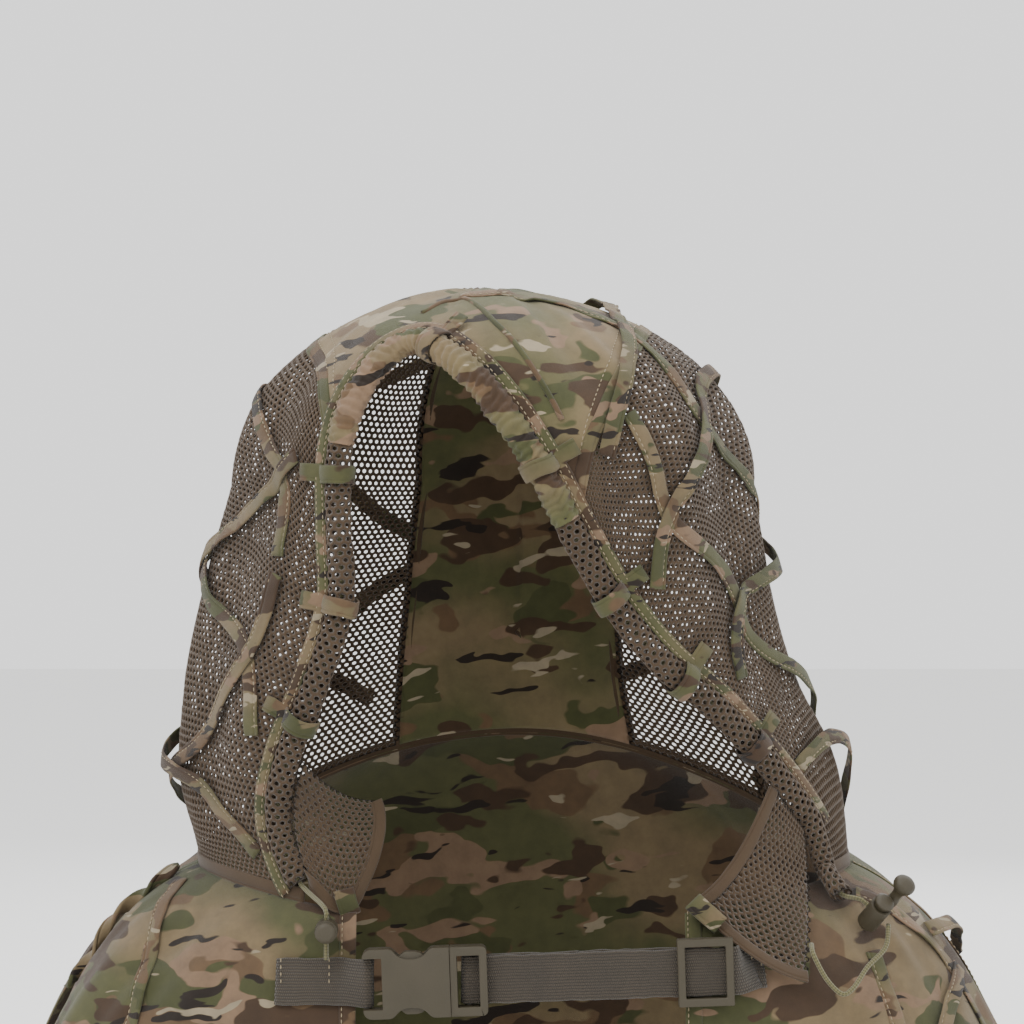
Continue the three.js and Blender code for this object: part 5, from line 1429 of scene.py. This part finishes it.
class GHILLIE_OT_cape_tapes(HoodOperator, bpy.types.Operator):
    """Make the garnish tapes on the cape, one of them twisted into a rope"""

    bl_idname = "ghillie.cape_tapes"
    bl_label = "Cape garnish tapes"

    def make(self, settings):
        for k, (name, (level, route)) in enumerate(CAPE_TAPES.items()):
            flats = np.array([[turn / 90, fall] for turn, fall, _ in route])
            at, normal = tape_path(cape_place, flats, route, level)
            twisted = name == "cape_tape_left_shoulder"
            make_tape(name, at, normal, settings, 300 + 7 * k, "cape", twisted)


def make_tape(name, at, normal, settings, seed, where, twisted=False):
    """One garnish tape, with the stitch row near its edge."""
    width, thickness = settings.tape_width / MM, settings.tape_thickness / MM
    if twisted:
        at = at + normal * 2.2
        piece = ribbon(name + "_tape", at, normal, width * 0.8, thickness * 2.2,
                       twist=lambda s: s / 7.0, flutter=0.1, seed=seed)
    else:
        piece = ribbon(name + "_tape", at, normal, width, thickness, flutter=0.16, seed=seed)
        side = path_frames(at, normal)[1]
        stitch(where, (at + side * (0.6 * width / 2) + normal * (thickness * 0.75))[2:-2])
    settle(piece, "tape", [name], None if where == "hood" else "cape")


class GHILLIE_OT_gussets(HoodOperator, bpy.types.Operator):
    """Make the two mesh collar gussets and their corner tabs"""

    bl_idname = "ghillie.gussets"
    bl_label = "Collar gussets"

    def make(self, settings):
        def beside(t):
            flat = beside_edge([t], -1.2)
            return hood_at(flat)[0]

        def bow(start, middle, end):
            start, middle, end = (np.asarray(p, float) for p in (start, middle, end))
            return lambda t: (start * ((1 - t) * (1 - 2 * t))[:, None]
                              + middle * (4 * t * (1 - t))[:, None]
                              + end * (t * (2 * t - 1))[:, None])
        corner = (148, -107, -45)
        sides = {
            "left": (bow(beside(0.125), (-97, -74, 49), (-77, -66, 43)),
                     bow(beside(0.035), (-99, -92, -9), (-88, -88, -8)),
                     bow(beside(0.125), beside(0.08), beside(0.035)),
                     bow((-77, -66, 43), (-76, -73, 22), (-88, -88, -8))),
            "right": (bow(beside(0.905), beside(0.928), beside(0.95)),
                      bow((92, -99, -8), (122, -109, -33), corner),
                      bow(beside(0.905), (113, -86, 12), (92, -99, -8)),
                      bow(beside(0.95), (151, -80, -12), corner)),
        }
        for seed, (side, edges) in enumerate(sides.items()):
            blend = patch(*edges)

            def place(u, v, blend=blend):
                at = blend(u, v)
                across = blend(np.minimum(u + 0.01, 1), v) - blend(np.maximum(u - 0.01, 0), v)
                down = blend(u, np.minimum(v + 0.01, 1)) - blend(u, np.maximum(v - 0.01, 0))
                normal = unit(np.cross(across, down))
                normal = np.where(normal[:, 1:2] > 0, -normal, normal)
                ripple = 1.6 * noise(np.stack([u * 4, v * 3, v * 0], 1), 90)
                inside = np.minimum(np.minimum(u, 1 - u), np.minimum(v, 1 - v)) * 5
                return at + normal * (1 + ripple * np.minimum(inside, 1))[:, None], normal
            node = f"collar_gusset_{side}"
            piece, size = knit(node + "_knit", place, settings.mesh_pitch / MM,
                               settings.strand / MM, 80 + seed)
            settle(piece, "knit", [node])
            lay_out(piece)
            for part, (u0, v0, u1, v1) in {"foot": (0, 1, 1, 1), "side": (1, 0, 1, 1)}.items():
                t = np.linspace(0, 1, 60)
                if side == "right" and part == "side":
                    u0, u1 = 0, 0
                at, normal = place(lerp(u0, u1, t), lerp(v0, v1, t))
                binding = ribbon(f"{node}_{part}_binding", at - normal * 0.6, normal, 7.0, 1.3,
                                 flutter=0.03, seed=95)
                settle(binding, "knit")
        t = np.linspace(0, 1, 14)[:, None]
        tabs = {"right": (np.array([89, -102, -6.0]), np.array([103, -108, -18.0])),
                "left": (np.array([-93, -93, -1.0]), np.array([-89, -93, -14.0]))}
        for side, (start, end) in tabs.items():
            line = start + (end - start) * t
            line[:, 1] -= 1.6 * np.sin(t[:, 0] * math.pi)
            tab = ribbon(f"collar_tab_{side}", line, np.tile([0.1, -1.0, 0.15], (14, 1)), 11.0,
                         1.4, flutter=0.05, seed=97)
            settle(tab, "tape")


class GHILLIE_OT_webbing(HoodOperator, bpy.types.Operator):
    """Make the chest strap's webbing"""

    bl_idname = "ghillie.webbing"
    bl_label = "Webbing"

    def make(self, settings):
        ahead, behind = np.array([0, -1.0, 0]), np.array([0, 1.0, 0])
        web_front = STRAP_DEPTH - 0.9
        web_rear = web_front + 1.4
        bar_female = (-80.0, STRAP_DEPTH + 2.5)
        bar_plug = (-27.7, web_rear + 0.3 + 2.0)

        def wrapped(bar, degrees):
            normal = np.array([math.cos(math.radians(degrees)), math.sin(math.radians(degrees)), 0])
            return strap_to_world(np.array([bar[0], bar[1], 0]) + normal * 2.3)[0], normal

        def free(x, y, normal):
            return strap_to_world([x, y, 0])[0], normal
        slider = 95.0
        wrap_rear = bar_plug[1] + 2.3
        runs = {
            "webbing_short": [*[sewn_to(x) for x in (-127, -115, -103, -93)],
                              *[wrapped(bar_female, a) for a in (-120, -90, -45, 0, 45, 90)]],
            "webbing_main": [*[sewn_to(x) for x in (125, 119)],
                             free(slider + 17.5, web_rear + 1.6, ahead),
                             free(slider + 15, web_rear, ahead), free(slider, web_rear, ahead),
                             free(38, web_rear, ahead),
                             *[wrapped(bar_plug, a) for a in (-90, -125, -160, 165, 130, 90)],
                             free(bar_plug[0] + 7, wrap_rear, behind)],
            "webbing_return": [free(bar_plug[0] + 7.3, wrap_rear, behind),
                               free(5, wrap_rear, behind), free(30, wrap_rear, behind)],
            "webbing_tail": [free(25, wrap_rear + 2.0, behind),
                             free(slider - 24, wrap_rear + 2.0, behind),
                             free(slider - 10, wrap_rear - 2.5, behind),
                             free(slider - 2.3, web_rear + 1.1, behind)],
        }
        for k, (name, places) in enumerate(runs.items()):
            at = np.array([p for p, _ in places])
            normal = np.array([n for _, n in places])
            both = np.hstack([at, normal * 6])
            line = even_steps(both, 2.0)
            piece = ribbon(name + "_web", line[:, :3], unit(line[:, 3:]), 25.4, 1.4, WEB_SECTION,
                           flutter=0.0, seed=120 + k)
            body = {"webbing_return": "plug", "webbing_tail": "slider"}.get(name, "cape")
            settle(piece, "web", [] if name == "webbing_tail" else [name], body)
            if name == "webbing_main":
                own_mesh(piece)
            if name == "webbing_return":
                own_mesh(piece)
            if name == "webbing_tail":
                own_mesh(piece)
        for name, start, end in (("left", -127, -93), ("right", 125, 117)):
            for x in ((start + 3, end - 6) if name == "left" else (start - 1.5, end + 1.5)):
                place, normal = sewn_to(x)
                rows = place + np.linspace(-11, 11, 24)[:, None] * np.array([0, 0, 1.0])
                stitch("cape", rows + normal * 1.7)


class GHILLIE_OT_hardware(HoodOperator, bpy.types.Operator):
    """Make the buckle, slider and cord locks with rounded edges"""

    bl_idname = "ghillie.hardware"
    bl_label = "Buckle, slider and cord locks"

    def make(self, settings):
        pieces = {
            "buckle_female": ("cape", 0.7), "buckle_plug": ("plug", 0.6),
            "latch_arm_upper": ("upper_arm", 0.5), "latch_arm_lower": ("lower_arm", 0.5),
            "strap_slider": ("slider", 0.8), "cord_lock_left_barrel": ("cape", 0.35),
            "cord_lock_right_barrel": ("cape", 0.35),
            "cord_lock_left_plunger": ("left_plunger", 0.4),
            "cord_lock_right_plunger": ("right_plunger", 0.4),
        }
        for node, (body, width) in pieces.items():
            piece = rounded(node, node + "_moulded", width)
            settle(piece, "plastic", [node], body)
        for side in ("left", "right"):
            self.spring(side)
        self.second_head()

    @staticmethod
    def spring(side):
        """A lock's spring, with its edges rounded, on the cape body."""
        node = f"cord_lock_{side}_spring"
        piece = rounded(node, node + "_wire", 0.05)
        settle(piece, "steel", [node], "cape")
        press = Vector(-lock_places()[side][1])
        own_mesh(piece)

    @staticmethod
    def second_head():
        """The second cord lock's round head, which stands up behind the right one."""
        base, axis, _ = lock_places()["right"]
        foot = base + axis * 13 + np.array([7.0, 3.0, 4.0])
        lean = unit(np.array([0.5, -0.55, 0.75]))
        profile = [(0, 0), (3.2, 0.2), (3.4, 3), (2.9, 6), (3.2, 9), (4.6, 11.5), (5.6, 12.6),
                   (6.1, 14.5), (5.6, 16.6), (3.8, 18.2), (0, 18.8)]
        side = unit(np.cross(lean, [0, 0, 1.0]))
        other = np.cross(lean, side)
        sides = 28
        smooth = curve_through([[r, h] for r, h in profile[1:-1]])(np.linspace(0, 1, 40))
        rows = []
        for radius, height in smooth:
            angle = np.arange(sides) / sides * 2 * math.pi
            rows.append(foot + lean * height + side * (radius * np.cos(angle))[:, None]
                        + other * (radius * np.sin(angle))[:, None])
        points = np.concatenate([*rows, [foot], [foot + lean * profile[-1][1]]])
        faces = []
        count = len(rows)
        for k in range(count - 1):
            for m in range(sides):
                n = (m + 1) % sides
                faces.append([k * sides + m, k * sides + n, (k + 1) * sides + n,
                              (k + 1) * sides + m])
        top, bottom = count * sides + 1, count * sides
        for m in range(sides):
            n = (m + 1) % sides
            faces.append([n, m, bottom])
            faces.append([(count - 1) * sides + m, (count - 1) * sides + n, top])
        piece = mesh_object("cord_lock_second_head", points, faces)
        work = bmesh.new()
        work.from_mesh(piece.data)
        bmesh.ops.recalc_face_normals(work, faces=work.faces)
        work.to_mesh(piece.data)
        work.free()
        settle(piece, "plastic", (), "cape")


class GHILLIE_OT_stitches(HoodOperator, bpy.types.Operator):
    """Lay the threads along every stitch row"""

    bl_idname = "ghillie.stitches"
    bl_label = "Stitches"

    def make(self, settings):
        tree = stitch_tree(looks()["thread"])
        for where, body in (("hood", None), ("cape", "cape")):
            piece = stitches(f"{where}_stitches", STITCH_ROWS[where], tree, settings.stitch_pitch)
            settle(piece, "thread", (), body)


STEPS = (
    GHILLIE_OT_stage, GHILLIE_OT_cords, GHILLIE_OT_mesh_panels, GHILLIE_OT_cloth_panels,
    GHILLIE_OT_seams, GHILLIE_OT_brim, GHILLIE_OT_channels, GHILLIE_OT_channel_trim,
    GHILLIE_OT_hood_tapes, GHILLIE_OT_cape, GHILLIE_OT_cape_tapes, GHILLIE_OT_gussets,
    GHILLIE_OT_webbing, GHILLIE_OT_hardware, GHILLIE_OT_stitches,
)


class GHILLIE_PT_hood(bpy.types.Panel):
    """The hood's settings and the steps that make it"""

    bl_idname = "GHILLIE_PT_hood"
    bl_label = "Ghillie hood"
    bl_space_type = "VIEW_3D"
    bl_region_type = "UI"
    bl_category = "Ghillie hood"

    def draw(self, context):
        for name in GhillieHoodSettings.__annotations__:
            self.layout.prop(context.scene.ghillie_hood, name)
        for step in STEPS:
            self.layout.operator(step.bl_idname)


CLASSES = (GhillieHoodSettings, *STEPS, GHILLIE_PT_hood)


def register():
    for each in CLASSES:
        bpy.utils.register_class(each)
    bpy.types.Scene.ghillie_hood = PointerProperty(type=GhillieHoodSettings)


def unregister():
    del bpy.types.Scene.ghillie_hood
    for each in reversed(CLASSES):
        bpy.utils.unregister_class(each)


def main():
    register()
    for step in STEPS:
        group, name = step.bl_idname.split(".")
        getattr(getattr(bpy.ops, group), name)()


if __name__ == "__main__":
    main()
